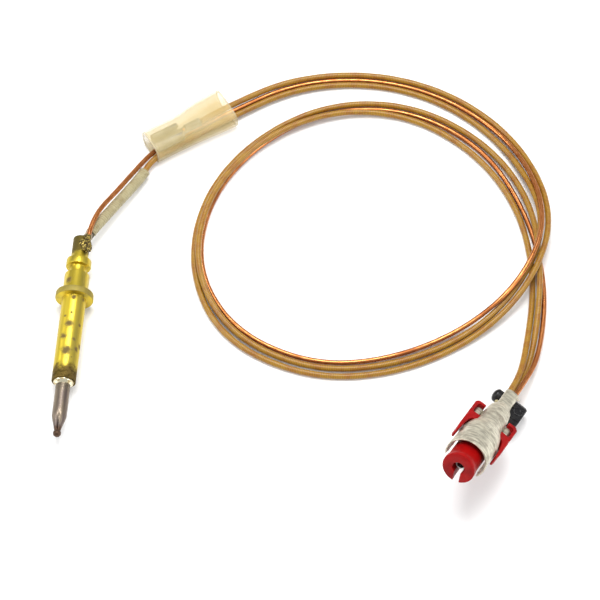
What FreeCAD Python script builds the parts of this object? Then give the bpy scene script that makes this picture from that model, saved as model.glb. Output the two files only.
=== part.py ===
"""Gas-hob thermocouple: brass probe, three looped leads, terminal cover, coaxial plug.

Millimetres, +Z up, lying on the plane z = 0. The probe's axis runs along -Y towards
its hot tip, and the origin is under the middle of the probe.
"""
import FreeCAD, Part
import math
import os
import Sketcher

Vector = FreeCAD.Vector
doc = FreeCAD.newDocument("thermocouple")

# ---------------------------------------------------------------- driving sizes
SIZES = [
    # probe, along its axis from the flange's seat face
    ("flange_dia", 8.0), ("flange_thick", 1.35), ("shank_dia", 5.0), ("shank_len", 19.8),
    ("collar_dia", 5.25), ("collar_len", 4.6), ("groove_dia", 3.5), ("groove_len", 1.9),
    ("rear_ring_dia", 5.25), ("rear_ring_len", 1.7), ("stub_dia", 3.6), ("stub_len", 5.45),
    ("edge_break", 0.15),
    ("body_bore_dia", 2.0), ("rear_cavity_dia", 2.9), ("rear_cavity_len", 4.2),
    ("sheath_socket_len", 4.0),
    # hot tip
    ("sheath_dia", 3.05), ("sheath_bore_dia", 2.2), ("sheath_straight_len", 7.9),
    ("sheath_taper_len", 3.5), ("sheath_end_dia", 1.3), ("sheath_end_bore_dia", 0.9),
    ("bead_dia", 1.65), ("braze_dia", 4.3), ("braze_len", 0.75),
    ("flute_dia", 0.9), ("flute_depth", 0.3), ("flute_inset", 0.5),
    # element
    ("element_dia", 0.8), ("element_insulator_dia", 1.9), ("fit_gap", 0.05),
    ("element_turn_depth", 3.6), ("element_exit_x", 0.95), ("element_exit_gap", 0.15),
    ("rear_bead_dia", 2.0), ("rear_bead_len", 1.3), ("rear_bead_gap", 0.35),
    # leads
    ("braid_dia", 1.3), ("copper_dia", 1.05), ("core_dia", 0.7),
    ("splice_dia", 1.3), ("splice_len", 3.6), ("sleeve_dia", 2.3), ("sleeve_wall", 0.33),
    ("braze_lump_dia", 2.2), ("braze_lump_len", 3.3), ("braze_lump_sink", 0.3),
    ("crimp_clearance", 0.25),
    # terminal and its cover
    ("cover_len", 19.6), ("cover_width", 7.1), ("cover_mouth_width", 8.2),
    ("cover_height", 5.0), ("cover_mouth_height", 4.8), ("cover_wall", 0.42),
    ("cover_corner", 2.05), ("terminal_width", 3.7), ("terminal_height", 2.1),
    ("terminal_len", 6.4), ("terminal_sheet", 0.35), ("terminal_lip", 1.1),
    ("terminal_floor", 2.12), ("terminal_inset", 1.1),
    ("crimp_dia", 1.9), ("crimp_len", 3.6), ("crimp_neck_len", 1.2),
    # plug, along its axis from the top of the crimp neck
    ("neck_width", 3.05), ("neck_height", 1.95), ("neck_wall", 0.28), ("neck_len", 5.2),
    ("shell_wall", 0.3), ("cone_start_dia", 3.3), ("cone_dia", 5.2), ("cone_len", 3.0),
    ("waist_dia", 6.2), ("waist_len", 5.8), ("barrel_dia", 8.4), ("shoulder_len", 3.4),
    ("rim_dia", 8.9), ("barrel_len", 7.2), ("shell_opening", 124.0),
    ("window_len", 3.4), ("window_height", 1.9), ("ear_len", 2.2),
    ("nose_dia", 6.4), ("nose_lip_dia", 6.8), ("nose_lip_len", 1.1), ("nose_bore_dia", 2.6),
    ("nose_len", 3.8), ("keyway_width", 1.35), ("keyway_angle", 19.0), ("keyway_len", 8.0),
    ("core_start", 8.6), ("wing_reach", 5.15), ("wing_thick", 0.75), ("wing_height", 2.8),
    ("wing_start", 9.2), ("wing_end", 20.1), ("wing_bridge_len", 3.0),
    ("contact_dia", 2.4), ("contact_bore_dia", 1.6), ("contact_len", 12.0),
    ("contact_recess", 1.4), ("tail_dia", 0.7), ("tail_straight", 1.4),
    ("tail_lead_in", 0.9), ("tail_in_contact", 1.6), ("plug_run", 4.0),
    ("live_past_neck", 1.8), ("copper_short", 0.2),
    ("block_width", 7.8), ("block_bar_dia", 2.9), ("block_drop", 2.6), ("block_back", 0.2),
    ("block_shift", 0.6), ("block_side_width", 3.1), ("block_side_len", 5.0),
    ("block_lead_x", 0.3), ("block_lead_depth", 0.6), ("joint_crimp_dia", 1.7),
    ("joint_crimp_len", 1.9),
]
sheet = doc.addObject("Spreadsheet::Sheet", "sizes")
for row, (alias, value) in enumerate(SIZES, 1):
    sheet.set("A%d" % row, alias.replace("_", " "))
    sheet.set("B%d" % row, str(value))
    sheet.setAlias("B%d" % row, alias)
doc.recompute()


def size(alias):
    return float(getattr(sheet, alias))


def bind(thing, **properties):
    """Tie properties to the sheet; a double underscore in a name stands for a dot."""
    for name, expression in properties.items():
        thing.setExpression(name.replace("__", "."), expression)
    return thing


# ---------------------------------------------------------------- where things lie
def turned(heading, pitch=0.0, roll=0.0):
    """Rotation that lays a piece's own Z along a heading from -Y, raised by pitch."""
    about_z = FreeCAD.Rotation(Vector(0, 0, 1), heading)
    about_x = FreeCAD.Rotation(Vector(1, 0, 0), 90.0 - pitch)
    return about_z * about_x * FreeCAD.Rotation(Vector(0, 0, 1), roll)


# the flange's seat face stands so that the probe's two ends are equally far from y = 0
behind_seat = sum(size(a) for a in (
    "flange_thick", "collar_len", "groove_len", "rear_ring_len", "stub_len"))
sheath_end = size("shank_len") + size("sheath_straight_len") + size("sheath_taper_len")
bead_lift = math.sqrt(size("bead_dia") ** 2 - size("sheath_end_dia") ** 2) / 2
before_seat = sheath_end + bead_lift + size("bead_dia") / 2
seat_y = (before_seat - behind_seat) / 2
probe_rear = seat_y + behind_seat
axis_z = size("flange_dia") / 2
PROBE_PLACE = FreeCAD.Placement(Vector(0, seat_y, axis_z), turned(0.0))
# the terminal cover's own Z runs from its left mouth to its right mouth
COVER_PLACE = FreeCAD.Placement(Vector(12.05, 49.1, 0), turned(125.0))
# the plug's own Z runs from the neck's top to the nose, X to the right wing
PLUG_PLACE = FreeCAD.Placement(Vector(91.9, -8.5, 5.55), turned(-24.0, 24.0, -16.0))


# ---------------------------------------------------------------- ways of making
def outline(body, role, corners):
    """A closed sketch of straight sides; each corner's two places are expressions."""
    plane = next(f for f in body.Origin.OriginFeatures if f.Role == role)
    sketch = body.newObject("Sketcher::SketchObject", body.Label + "_outline")
    sketch.AttachmentSupport = [(plane, "")]
    sketch.MapMode = "FlatFace"
    count = len(corners)
    ring = [Vector(10 * math.cos(2 * math.pi * i / count),
                   10 * math.sin(2 * math.pi * i / count), 0) for i in range(count)]
    for i in range(count):
        sketch.addGeometry(Part.LineSegment(ring[i], ring[(i + 1) % count]), False)
    for i in range(count):
        sketch.addConstraint(
            Sketcher.Constraint("Coincident", i, 2, (i + 1) % count, 1))
    for i, place in enumerate(corners):
        for kind, axis, expression, now in (("DistanceX", -2, place[0], ring[i].x),
                                            ("DistanceY", -1, place[1], ring[i].y)):
            if expression == "0":
                sketch.addConstraint(Sketcher.Constraint("PointOnObject", i, 1, axis))
            else:
                number = sketch.addConstraint(Sketcher.Constraint(kind, -1, 1, i, 1, now))
                sketch.setExpression("Constraints[%d]" % number, expression)
    doc.recompute()
    return sketch


def lathe(label, corners, place, angle="360"):
    """A turned piece: corners are (radius, place along the axis)."""
    body = doc.addObject("PartDesign::Body", label)
    sketch = outline(body, "XZ_Plane", corners)
    turn = body.newObject("PartDesign::Revolution", label + "_turn")
    turn.Profile = sketch
    turn.ReferenceAxis = (sketch, ["V_Axis"])
    turn.setExpression("Angle", angle)
    body.Tip = turn
    body.Placement = place
    doc.recompute()
    return body


def extrusion(label, corners, length, place):
    """A piece of constant section: corners are (x, y), along its own Z."""
    body = doc.addObject("PartDesign::Body", label)
    sketch = outline(body, "XY_Plane", corners)
    pad = body.newObject("PartDesign::Pad", label + "_pad")
    pad.Profile = sketch
    pad.setExpression("Length", length)
    body.Tip = pad
    body.Placement = place
    doc.recompute()
    return body


def rod(name, radius, height, **place):
    """A cylinder along its own Z; place holds expressions for x, y and z."""
    thing = bind(doc.addObject("Part::Cylinder", name), Radius=radius, Height=height)
    return bind(thing, **{"Placement__Base__" + axis: value for axis, value in place.items()})


def block(name, length, width, height, **place):
    """A box from its low corner; place holds expressions for x, y and z."""
    thing = bind(doc.addObject("Part::Box", name), Length=length, Width=width, Height=height)
    return bind(thing, **{"Placement__Base__" + axis: value for axis, value in place.items()})


def joined(name, things):
    whole = doc.addObject("Part::MultiFuse", name)
    whole.Shapes = things
    whole.Refine = True
    return whole


def cut(name, base, tool):
    whole = doc.addObject("Part::Cut", name)
    whole.Base = base
    whole.Tool = tool
    return whole


def labelled(thing, label, place=None):
    thing.Label = label
    if place:
        thing.Placement = place
    NODES.append(thing)
    return thing


NODES = []


# ---------------------------------------------------------------- routes
ARC_SHARE = 0.45


def rounded_path(name, points):
    """Straight runs joined by tangent arcs, each using a share of its shorter run."""
    points = [Vector(*p) for p in points]
    edges, radii = [], []
    start = points[0]
    for before, corner, after in zip(points, points[1:], points[2:]):
        come, leave = corner - before, after - corner
        half_turn = come.getAngle(leave) / 2
        take = ARC_SHARE * min(come.Length, leave.Length)
        come, leave = come.normalize(), leave.normalize()
        enter, exit_ = corner - come * take, corner + leave * take
        inside = (leave - come).normalize()
        radius = take / math.tan(half_turn)
        centre = corner + inside * (radius / math.cos(half_turn))
        middle = centre - inside * radius
        edges.append(Part.LineSegment(start, enter).toShape())
        edges.append(Part.Arc(enter, middle, exit_).toShape())
        radii.append(radius)
        start = exit_
    edges.append(Part.LineSegment(start, points[-1]).toShape())
    path = doc.addObject("Part::Feature", name + "_path")
    path.Shape = Part.Wire(edges)
    print(name, "length %.1f" % path.Shape.Length, "radii",
          " ".join("%.0f" % r for r in radii))
    return path


def tube(name, path, radius):
    """A round bar along a path, with its radius bound to the sheet."""
    ring = doc.addObject("Part::Circle", name + "_ring")
    first = path.Shape.Edges[0]
    ring.Placement = FreeCAD.Placement(
        first.valueAt(first.FirstParameter),
        FreeCAD.Rotation(Vector(0, 0, 1), first.tangentAt(first.FirstParameter)))
    ring.setExpression("Radius", radius)
    bar = doc.addObject("Part::Sweep", name)
    bar.Sections = [ring]
    bar.Spine = (path, ["Edge%d" % (i + 1) for i in range(len(path.Shape.Edges))])
    bar.Solid = True
    bar.Frenet = False
    doc.recompute()
    section = math.pi * float(ring.Radius) ** 2
    ratio = bar.Shape.Volume / (section * path.Shape.Length)
    if abs(ratio - 1) > 0.01:
        raise ValueError("%s: volume is %.3f of section times length" % (name, ratio))
    return bar


def from_cover(along, aside, height):
    """A point in the terminal cover, aside being away from the probe's tip."""
    return COVER_PLACE.multVec(Vector(aside, height, along))


def from_plug(aside, above, along):
    return PLUG_PLACE.multVec(Vector(aside, above, along))


# ---------------------------------------------------------------- probe body
# places along the axis, from the seat face: + towards the tip, - towards the rear
COLLAR_END = "-sizes.flange_thick - sizes.collar_len"
GROOVE_END = COLLAR_END + " - sizes.groove_len"
RING_END = GROOVE_END + " - sizes.rear_ring_len"
REAR = RING_END + " - sizes.stub_len"
SOCKET = "sizes.shank_len - sizes.sheath_socket_len"


def turned_step(diameter, near, far):
    """Two chamfered corners of one step of a turned profile, from near to far."""
    radius = "sizes.%s / 2" % diameter
    return [(radius + " - sizes.edge_break", near), (radius, near + " + sizes.edge_break"),
            (radius, far + " - sizes.edge_break"), (radius + " - sizes.edge_break", far)]


labelled(lathe("probe_body",
    [("sizes.rear_cavity_dia / 2", REAR), ("sizes.stub_dia / 2", REAR),
     ("sizes.stub_dia / 2", RING_END)]
    + turned_step("rear_ring_dia", RING_END, GROOVE_END)
    + [("sizes.groove_dia / 2", GROOVE_END), ("sizes.groove_dia / 2", COLLAR_END)]
    + turned_step("collar_dia", COLLAR_END, "-sizes.flange_thick")
    + turned_step("flange_dia", "-sizes.flange_thick", "0")
    + [("sizes.shank_dia / 2", "0"),
       ("sizes.shank_dia / 2", "sizes.shank_len - sizes.edge_break"),
       ("sizes.shank_dia / 2 - sizes.edge_break", "sizes.shank_len"),
       ("sizes.sheath_dia / 2", "sizes.shank_len"), ("sizes.sheath_dia / 2", SOCKET),
       ("sizes.body_bore_dia / 2", SOCKET),
       ("sizes.body_bore_dia / 2", REAR + " + sizes.rear_cavity_len"),
       ("sizes.rear_cavity_dia / 2", REAR + " + sizes.rear_cavity_len")],
    PROBE_PLACE), "probe_body")

# ---------------------------------------------------------------- hot tip
TAPER_START = "sizes.shank_len + sizes.sheath_straight_len"
SHEATH_END = TAPER_START + " + sizes.sheath_taper_len"

labelled(lathe("braze_ring",
    [("sizes.sheath_dia / 2", "sizes.shank_len"), ("sizes.braze_dia / 2", "sizes.shank_len"),
     ("sizes.braze_dia / 2 - sizes.braze_len / 4", "sizes.shank_len + sizes.braze_len / 3"),
     ("sizes.sheath_dia / 2", "sizes.shank_len + sizes.braze_len")],
    PROBE_PLACE), "braze_ring")

sheath_blank = lathe("sheath_blank",
    [("sizes.sheath_bore_dia / 2", SOCKET), ("sizes.sheath_dia / 2", SOCKET),
     ("sizes.sheath_dia / 2", TAPER_START), ("sizes.sheath_end_dia / 2", SHEATH_END),
     ("sizes.sheath_end_bore_dia / 2", SHEATH_END),
     ("sizes.sheath_end_bore_dia / 2", SHEATH_END + " - sizes.sheath_end_dia"),
     ("sizes.sheath_bore_dia / 2", TAPER_START + " - sizes.sheath_end_dia")],
    FreeCAD.Placement())
# three flutes are pressed along the taper, parallel to its slope
slope = (size("sheath_dia") - size("sheath_end_dia")) / 2 / size("sheath_taper_len")
lean = FreeCAD.Rotation(Vector(0, 1, 0), -math.degrees(math.atan(slope)))
flute_out = (size("sheath_dia") / 2 + size("flute_dia") / 2 - size("flute_depth")
             - size("flute_inset") * slope)
flute_start = size("shank_len") + size("sheath_straight_len") + size("flute_inset")
flutes = []
for number in range(3):
    spin = FreeCAD.Rotation(Vector(0, 0, 1), 90.0 + 120.0 * number)
    flute = rod("flute_%d" % (number + 1), "sizes.flute_dia / 2",
                "sizes.sheath_taper_len - sizes.flute_inset")
    flute.Placement = FreeCAD.Placement(
        spin.multVec(Vector(flute_out, 0, flute_start)), spin * lean)
    flutes.append(flute)
flute_set = doc.addObject("Part::Compound", "flutes")
flute_set.Links = flutes
labelled(cut("junction_sheath", sheath_blank, flute_set), "junction_sheath", PROBE_PLACE)

# the weld bead sits on the sheath's end, cut flat where the two meet
bead = doc.addObject("Part::Sphere", "junction_bead")
bind(bead, Radius="sizes.bead_dia / 2",
     Angle1="-acos(sizes.sheath_end_dia / sizes.bead_dia)")
labelled(bead, "junction_bead",
         PROBE_PLACE * FreeCAD.Placement(Vector(0, 0, sheath_end + bead_lift),
                                         FreeCAD.Rotation()))

# ---------------------------------------------------------------- element
ELEMENT_TURN = (0, probe_rear - size("element_turn_depth"), axis_z)
ELEMENT_EXIT = (size("element_exit_x"), probe_rear + size("element_exit_gap"), axis_z)
SLEEVE_ROUTE = [(2.1, probe_rear + 2.53, 4.05), (7.2, 35.6, 2.6), (10.6, 41.6, 1.75)]

labelled(lathe("element_insulator",
    [("sizes.element_dia / 2 + sizes.fit_gap", REAR + " + sizes.rear_cavity_len"),
     ("sizes.element_insulator_dia / 2", REAR + " + sizes.rear_cavity_len"),
     ("sizes.element_insulator_dia / 2", TAPER_START + " - 2 * sizes.sheath_end_dia"),
     ("sizes.element_dia / 2 + sizes.fit_gap", TAPER_START + " - 2 * sizes.sheath_end_dia")],
    PROBE_PLACE), "element_insulator")


def between(start, end, share):
    return tuple(a + (b - a) * share for a, b in zip(start, end))


SPLICE_SHARE, SLEEVE_SHARE = 0.12, 0.3
SPLICE_START = between(SLEEVE_ROUTE[0], SLEEVE_ROUTE[1], SPLICE_SHARE)
sleeve_run = Vector(*SLEEVE_ROUTE[1]) - Vector(*SLEEVE_ROUTE[0])
splice_end = Vector(*SPLICE_START) + Vector(sleeve_run).normalize() * size("splice_len")
SPLICE_MIDDLE = tuple((Vector(*SPLICE_START) + splice_end) * 0.5)
element_path = rounded_path("element_wire", [
    (0, seat_y - sheath_end, axis_z), ELEMENT_TURN, ELEMENT_EXIT, SLEEVE_ROUTE[0],
    SPLICE_MIDDLE])
labelled(tube("element_wire", element_path, "sizes.element_dia / 2"), "element_wire")

splice_place = FreeCAD.Placement(
    Vector(*SPLICE_START), FreeCAD.Rotation(Vector(0, 0, 1), sleeve_run))
labelled(lathe("element_splice",
    [("sizes.element_dia / 2", "0"), ("sizes.splice_dia / 2", "0"),
     ("sizes.splice_dia / 2", "sizes.splice_len"), ("sizes.element_dia / 2", "sizes.splice_len")],
    splice_place), "element_splice")

bead_axis = Vector(*SLEEVE_ROUTE[0]) - Vector(*ELEMENT_EXIT)
bead_start = Vector(*ELEMENT_EXIT) + Vector(bead_axis).normalize() * size("rear_bead_gap")
labelled(lathe("rear_bead",
    [("sizes.element_dia / 2 + sizes.fit_gap", "0"),
     ("sizes.rear_bead_dia / 2 - sizes.edge_break * 2", "0"),
     ("sizes.rear_bead_dia / 2", "sizes.edge_break * 2"),
     ("sizes.rear_bead_dia / 2", "sizes.rear_bead_len - sizes.edge_break * 2"),
     ("sizes.rear_bead_dia / 2 - sizes.edge_break * 2", "sizes.rear_bead_len"),
     ("sizes.element_dia / 2 + sizes.fit_gap", "sizes.rear_bead_len")],
    FreeCAD.Placement(bead_start, FreeCAD.Rotation(Vector(0, 0, 1), bead_axis))), "rear_bead")

# ---------------------------------------------------------------- leads
LIVE_ROUTE = [
    (12.9, 47.3, 1.45), (20.9, 53.2, 1.3), (28.0, 58.6, 1.35), (42.5, 68.3, 0.95),
    (60.4, 70.8, 0.65), (76.9, 65.9, 0.65), (90.4, 54.3, 0.65), (98.3, 36.7, 3.35),
    (93.6, 19.6, 3.3), (82.7, 7.4, 0.65), (66.3, -1.0, 0.65), (49.5, -2.8, 0.7),
    (32.7, 4.6, 0.75), (24.0, 19.6, 2.0), (25.2, 37.6, 1.95), (34.7, 52.8, 1.9),
    (50.4, 62.3, 1.7), (67.6, 62.8, 0.65), (82.9, 53.7, 0.65), (92.6, 39.4, 0.65),
    (96.2, 22.0, 0.65), (94.7, 4.0, 1.3)]
COPPER_ROUTE = [
    (1.4, probe_rear - 3.37, 5.9), (1.4, probe_rear + 0.53, 5.9), (2.8, 30.2, 5.5),
    (5.9, 36.0, 4.1), (8.7, 41.6, 2.9), (12.9, 49.5, 1.25), (19.8, 54.5, 1.15), (27.2, 59.7, 1.15),
    (42.1, 69.6, 0.8), (60.5, 72.1, 0.55), (77.5, 67.2, 0.55), (91.7, 55.4, 1.2),
    (98.5, 36.1, 5.0), (93.1, 19.1, 5.05), (81.5, 8.7, 0.85), (65.7, 0.5, 0.75),
    (49.9, -1.3, 0.55), (33.5, 5.7, 0.55), (24.5, 20.5, 0.55), (25.8, 38.1, 0.55),
    (35.1, 53.2, 0.55), (50.2, 63.3, 0.55), (67.9, 64.2, 0.55), (84.2, 55.2, 0.55),
    (93.6, 39.9, 0.55), (98.6, 22.1, 0.55), (97.7, 3.8, 1.3)]
SWITCH_ROUTE = [
    (27.4, 61.3, 1.9), (41.7, 70.8, 1.0), (60.6, 73.5, 0.65), (78.3, 68.4, 0.65),
    (92.5, 56.3, 0.65), (99.9, 36.9, 3.55), (94.9, 18.8, 3.6), (83.6, 6.3, 0.65),
    (66.9, -2.8, 0.65), (49.2, -4.6, 0.65), (31.2, 3.3, 0.65), (23.0, 19.9, 0.65),
    (24.4, 38.4, 0.65), (34.1, 54.1, 0.65), (49.8, 64.7, 0.65), (68.3, 65.6, 0.65),
    (85.3, 56.2, 0.75), (95.4, 40.5, 1.4), (97.5, 21.3, 2.25), (96.2, 4.2, 0.75),
    (94.0, -2.8, 0.7)]

# where each lead sits in the plug: side by side in the neck, the third below it
pair_half = (size("braid_dia") + size("copper_dia") + size("fit_gap")) / 2
LIVE_ASIDE = size("braid_dia") / 2 - pair_half
COPPER_ASIDE = pair_half - size("copper_dia") / 2
LIVE_END = size("neck_len") + size("live_past_neck")
COPPER_END = size("neck_len") - size("copper_short")
block_rear = -size("block_back") - size("block_bar_dia") / 2
BLOCK_LEAD = (size("block_lead_x"), -size("block_drop"),
              block_rear + size("block_lead_depth"))
terminal_axis = size("terminal_floor") + size("crimp_dia") / 2
crimp_start = size("terminal_inset") + size("terminal_len") + size("crimp_neck_len")
crimp_end = crimp_start + size("crimp_len")

live_path = rounded_path("live_lead", [
    tuple(splice_end), SLEEVE_ROUTE[1], SLEEVE_ROUTE[2], *LIVE_ROUTE,
    from_plug(LIVE_ASIDE, 0, -size("plug_run")), from_plug(LIVE_ASIDE, 0, LIVE_END)])
labelled(tube("live_lead", live_path, "sizes.braid_dia / 2"), "live_lead")

copper_path = rounded_path("return_lead", [
    *COPPER_ROUTE, from_plug(COPPER_ASIDE, 0, -size("plug_run")),
    from_plug(COPPER_ASIDE, 0, COPPER_END)])
return_lead = labelled(tube("return_lead", copper_path, "sizes.copper_dia / 2"), "return_lead")

switch_path = rounded_path("switch_lead", [
    from_cover(crimp_end + size("crimp_clearance"), 0, terminal_axis), *SWITCH_ROUTE,
    from_plug(*BLOCK_LEAD)])
labelled(tube("switch_lead", switch_path, "sizes.braid_dia / 2"), "switch_lead")

# woven sleeve over the splice and the start of the live lead
sleeve_start = bead_start + Vector(bead_axis).normalize() * (
    size("rear_bead_len") + 2 * size("fit_gap"))
sleeve_path = rounded_path("heat_sleeve", [
    tuple(sleeve_start), *SLEEVE_ROUTE, between(SLEEVE_ROUTE[2], LIVE_ROUTE[0], SLEEVE_SHARE)])
labelled(cut("heat_sleeve", tube("sleeve_outside", sleeve_path, "sizes.sleeve_dia / 2"),
             tube("sleeve_inside", sleeve_path, "sizes.sleeve_dia / 2 - sizes.sleeve_wall")),
         "heat_sleeve")

# lump of braze where the copper lead lies against the stub
along_y = FreeCAD.Rotation(Vector(1, 0, 0), -90)
copper_start = Vector(*COPPER_ROUTE[0])
to_axis = Vector(-copper_start.x, 0, axis_z - copper_start.z).normalize()
lump = rod("lump_blank", "sizes.braze_lump_dia / 2", "sizes.braze_lump_len")
lump.Placement = FreeCAD.Placement(
    copper_start + to_axis * size("braze_lump_sink"), along_y)
stub = rod("stub_space", "sizes.stub_dia / 2", "2 * sizes.stub_len")
stub.Placement = FreeCAD.Placement(
    Vector(0, probe_rear - 1.5 * size("stub_len"), axis_z), along_y)
labelled(cut("return_braze", cut("lump_on_stub", lump, stub), return_lead), "return_braze")


# ---------------------------------------------------------------- terminal cover
def rounded_section(width, height, corner, along):
    """A closed wire: a rectangle with round corners, standing on height zero."""
    half, low = width / 2 - corner, corner
    high = height - corner
    diagonal = corner * math.sqrt(0.5)
    edges = []
    for x, y, sx, sy in ((half, low, 1, -1), (half, high, 1, 1),
                         (-half, high, -1, 1), (-half, low, -1, -1)):
        flat, tall = Vector(x + sx * corner, y, along), Vector(x, y + sy * corner, along)
        ends = (tall, flat) if sx * sy < 0 else (flat, tall)
        middle = Vector(x + sx * diagonal, y + sy * diagonal, along)
        edges.append(Part.Arc(ends[0], middle, ends[1]).toShape())
    sides = [Part.LineSegment(edges[i].Vertexes[-1].Point,
                              edges[(i + 1) % 4].Vertexes[0].Point).toShape()
             for i in range(4)]
    return Part.Wire([edge for pair in zip(edges, sides) for edge in pair])


def cover_solid(wall):
    """The cover's outside, or its inside when wall is the sheet's thickness."""
    sections = []
    for width, height, along in (("cover_width", "cover_height", 0.0),
                                 ("cover_mouth_width", "cover_mouth_height",
                                  size("cover_len"))):
        section = rounded_section(size(width) - 2 * wall, size(height) - 2 * wall,
                                  size("cover_corner") - wall, along)
        section.translate(Vector(0, wall, 0))
        sections.append(section)
    return Part.makeLoft(sections, True, True)


cover = doc.addObject("Part::Feature", "terminal_cover")
cover.Shape = cover_solid(0.0).cut(cover_solid(size("cover_wall")))
labelled(cover, "terminal_cover", COVER_PLACE)

# ---------------------------------------------------------------- push-on terminal
# a flat sheet whose two sides are rolled over to grip a tab; corners as (x, y)
HALF, FLOOR = "sizes.terminal_width / 2", "sizes.terminal_floor"
TOP = FLOOR + " + sizes.terminal_height"
rolled = [("-" + HALF, FLOOR), (HALF, FLOOR), (HALF, TOP),
          (HALF + " - sizes.terminal_lip", TOP),
          (HALF + " - sizes.terminal_lip", TOP + " - sizes.terminal_sheet"),
          (HALF + " - sizes.terminal_sheet", TOP + " - sizes.terminal_sheet"),
          (HALF + " - sizes.terminal_sheet", FLOOR + " + sizes.terminal_sheet")]
left_half = [("-(%s)" % x, y) for x, y in reversed(rolled[2:])]
receptacle = extrusion("receptacle_sheet", rolled + left_half, "sizes.terminal_len",
                       FreeCAD.Placement(Vector(0, 0, size("terminal_inset")),
                                         FreeCAD.Rotation()))
CRIMP_START = "sizes.terminal_inset + sizes.terminal_len + sizes.crimp_neck_len"
tongue = block("receptacle_tongue", "sizes.crimp_dia", "sizes.terminal_sheet",
               "sizes.crimp_neck_len + sizes.terminal_sheet + sizes.crimp_len / 2",
               x="-sizes.crimp_dia / 2", y=FLOOR,
               z="sizes.terminal_inset + sizes.terminal_len - sizes.terminal_sheet")
barrel = cut("crimp_barrel",
             rod("crimp_outside", "sizes.crimp_dia / 2", "sizes.crimp_len",
                 y=FLOOR + " + sizes.crimp_dia / 2", z=CRIMP_START),
             rod("crimp_inside", "sizes.core_dia / 2 + sizes.fit_gap",
                 "sizes.crimp_len", y=FLOOR + " + sizes.crimp_dia / 2", z=CRIMP_START))
core_room = rod("core_room", "sizes.core_dia / 2 + sizes.fit_gap",
                "3 * sizes.crimp_len", y=FLOOR + " + sizes.crimp_dia / 2",
                z=CRIMP_START + " - sizes.crimp_len")
labelled(cut("push_on_receptacle", joined("receptacle_solid", [receptacle, tongue, barrel]),
             core_room), "push_on_receptacle", COVER_PLACE)
labelled(rod("switch_lead_end", "sizes.core_dia / 2", "sizes.crimp_len + sizes.crimp_neck_len / 2"),
         "switch_lead_end",
         COVER_PLACE * FreeCAD.Placement(
             Vector(0, terminal_axis, crimp_start - size("crimp_neck_len") / 2),
             FreeCAD.Rotation()))

# ---------------------------------------------------------------- plug shell
CONE_END = "sizes.neck_len + sizes.cone_len"
WAIST_END = CONE_END + " + sizes.waist_len"
SHOULDER_END = WAIST_END + " + sizes.shoulder_len"
RIM = SHOULDER_END + " + sizes.barrel_len"
outside = [("sizes.cone_start_dia / 2", "sizes.neck_len"), ("sizes.cone_dia / 2", CONE_END),
           ("sizes.waist_dia / 2", WAIST_END), ("sizes.barrel_dia / 2", SHOULDER_END),
           ("sizes.rim_dia / 2", RIM)]
inside = [(radius + " - sizes.shell_wall", place) for radius, place in reversed(outside)]
shell_blank = lathe("shell_blank", outside + inside, FreeCAD.Placement(),
                    "360 - sizes.shell_opening")
shell_blank.Tip.Midplane = True
shell_blank.Placement = FreeCAD.Placement(
    Vector(), FreeCAD.Rotation(Vector(0, 0, 1), 90))


def stadium(name, wall, start, length):
    """A bar of round-ended section, the neck's outside taken in by a wall."""
    radius = "sizes.neck_height / 2 - " + wall
    reach = "(sizes.neck_width - sizes.neck_height) / 2"
    return joined(name, [
        block(name + "_middle", "2 * " + reach, "2 * (%s)" % radius, length,
              x="-" + reach, y="-(%s)" % radius, z=start),
        rod(name + "_left", radius, length, x="-" + reach, z=start),
        rod(name + "_right", radius, length, x=reach, z=start)])


collar_disc = rod("neck_disc", "sizes.cone_start_dia / 2", "sizes.shell_wall",
                  z="sizes.neck_len - sizes.shell_wall / 2")
# flat ears inside the wings keep the insulator from turning
EAR_OUT = "sizes.wing_reach - sizes.wing_thick - sizes.fit_gap"
EAR_IN = "sizes.cone_dia / 2 + (sizes.waist_dia - sizes.cone_dia) / 12"
ears = [block("ear_" + side, EAR_OUT + " - (%s)" % EAR_IN, "sizes.shell_wall",
              "sizes.ear_len", x=x, y="sizes.shell_wall",
              z="sizes.wing_start + 1.5 * sizes.wing_thick + 2 * sizes.fit_gap")
        for side, x in (("right", EAR_IN), ("left", "-(%s)" % EAR_OUT))]
shell_solid = joined("shell_solid", [
    shell_blank, stadium("neck_bar", "0", "0", "sizes.neck_len"),
    collar_disc] + ears)
WINDOW_START = WAIST_END + " + sizes.shoulder_len / 4 - sizes.window_len"
windows = block("windows", "2 * sizes.wing_reach", "sizes.window_height", "sizes.window_len",
                x="-sizes.wing_reach", y="-sizes.window_height / 2", z=WINDOW_START)
wire_way = stadium("wire_way", "sizes.neck_wall", "-sizes.neck_wall",
                   "sizes.neck_len + 3 * sizes.neck_wall")
inner_ways = joined("shell_openings", [windows, wire_way])
labelled(cut("plug_shell", shell_solid, inner_ways), "plug_shell", PLUG_PLACE)

# ---------------------------------------------------------------- plug insulator
NOSE_END = RIM + " + sizes.nose_len"
PLAY = "2 * sizes.fit_gap"
core = lathe("nose_core", [
    ("sizes.nose_bore_dia / 2", "sizes.core_start"),
    ("sizes.cone_dia / 2 - sizes.shell_wall - " + PLAY, "sizes.core_start"),
    ("sizes.waist_dia / 2 - sizes.shell_wall - " + PLAY, WAIST_END),
    ("sizes.nose_dia / 2", SHOULDER_END), ("sizes.nose_dia / 2",
                                           NOSE_END + " - sizes.nose_lip_len"),
    ("sizes.nose_lip_dia / 2", NOSE_END + " - sizes.nose_lip_len"),
    ("sizes.nose_lip_dia / 2", NOSE_END + " - sizes.edge_break"),
    ("sizes.nose_lip_dia / 2 - sizes.edge_break", NOSE_END),
    ("sizes.nose_bore_dia / 2", NOSE_END)], FreeCAD.Placement())

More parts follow.
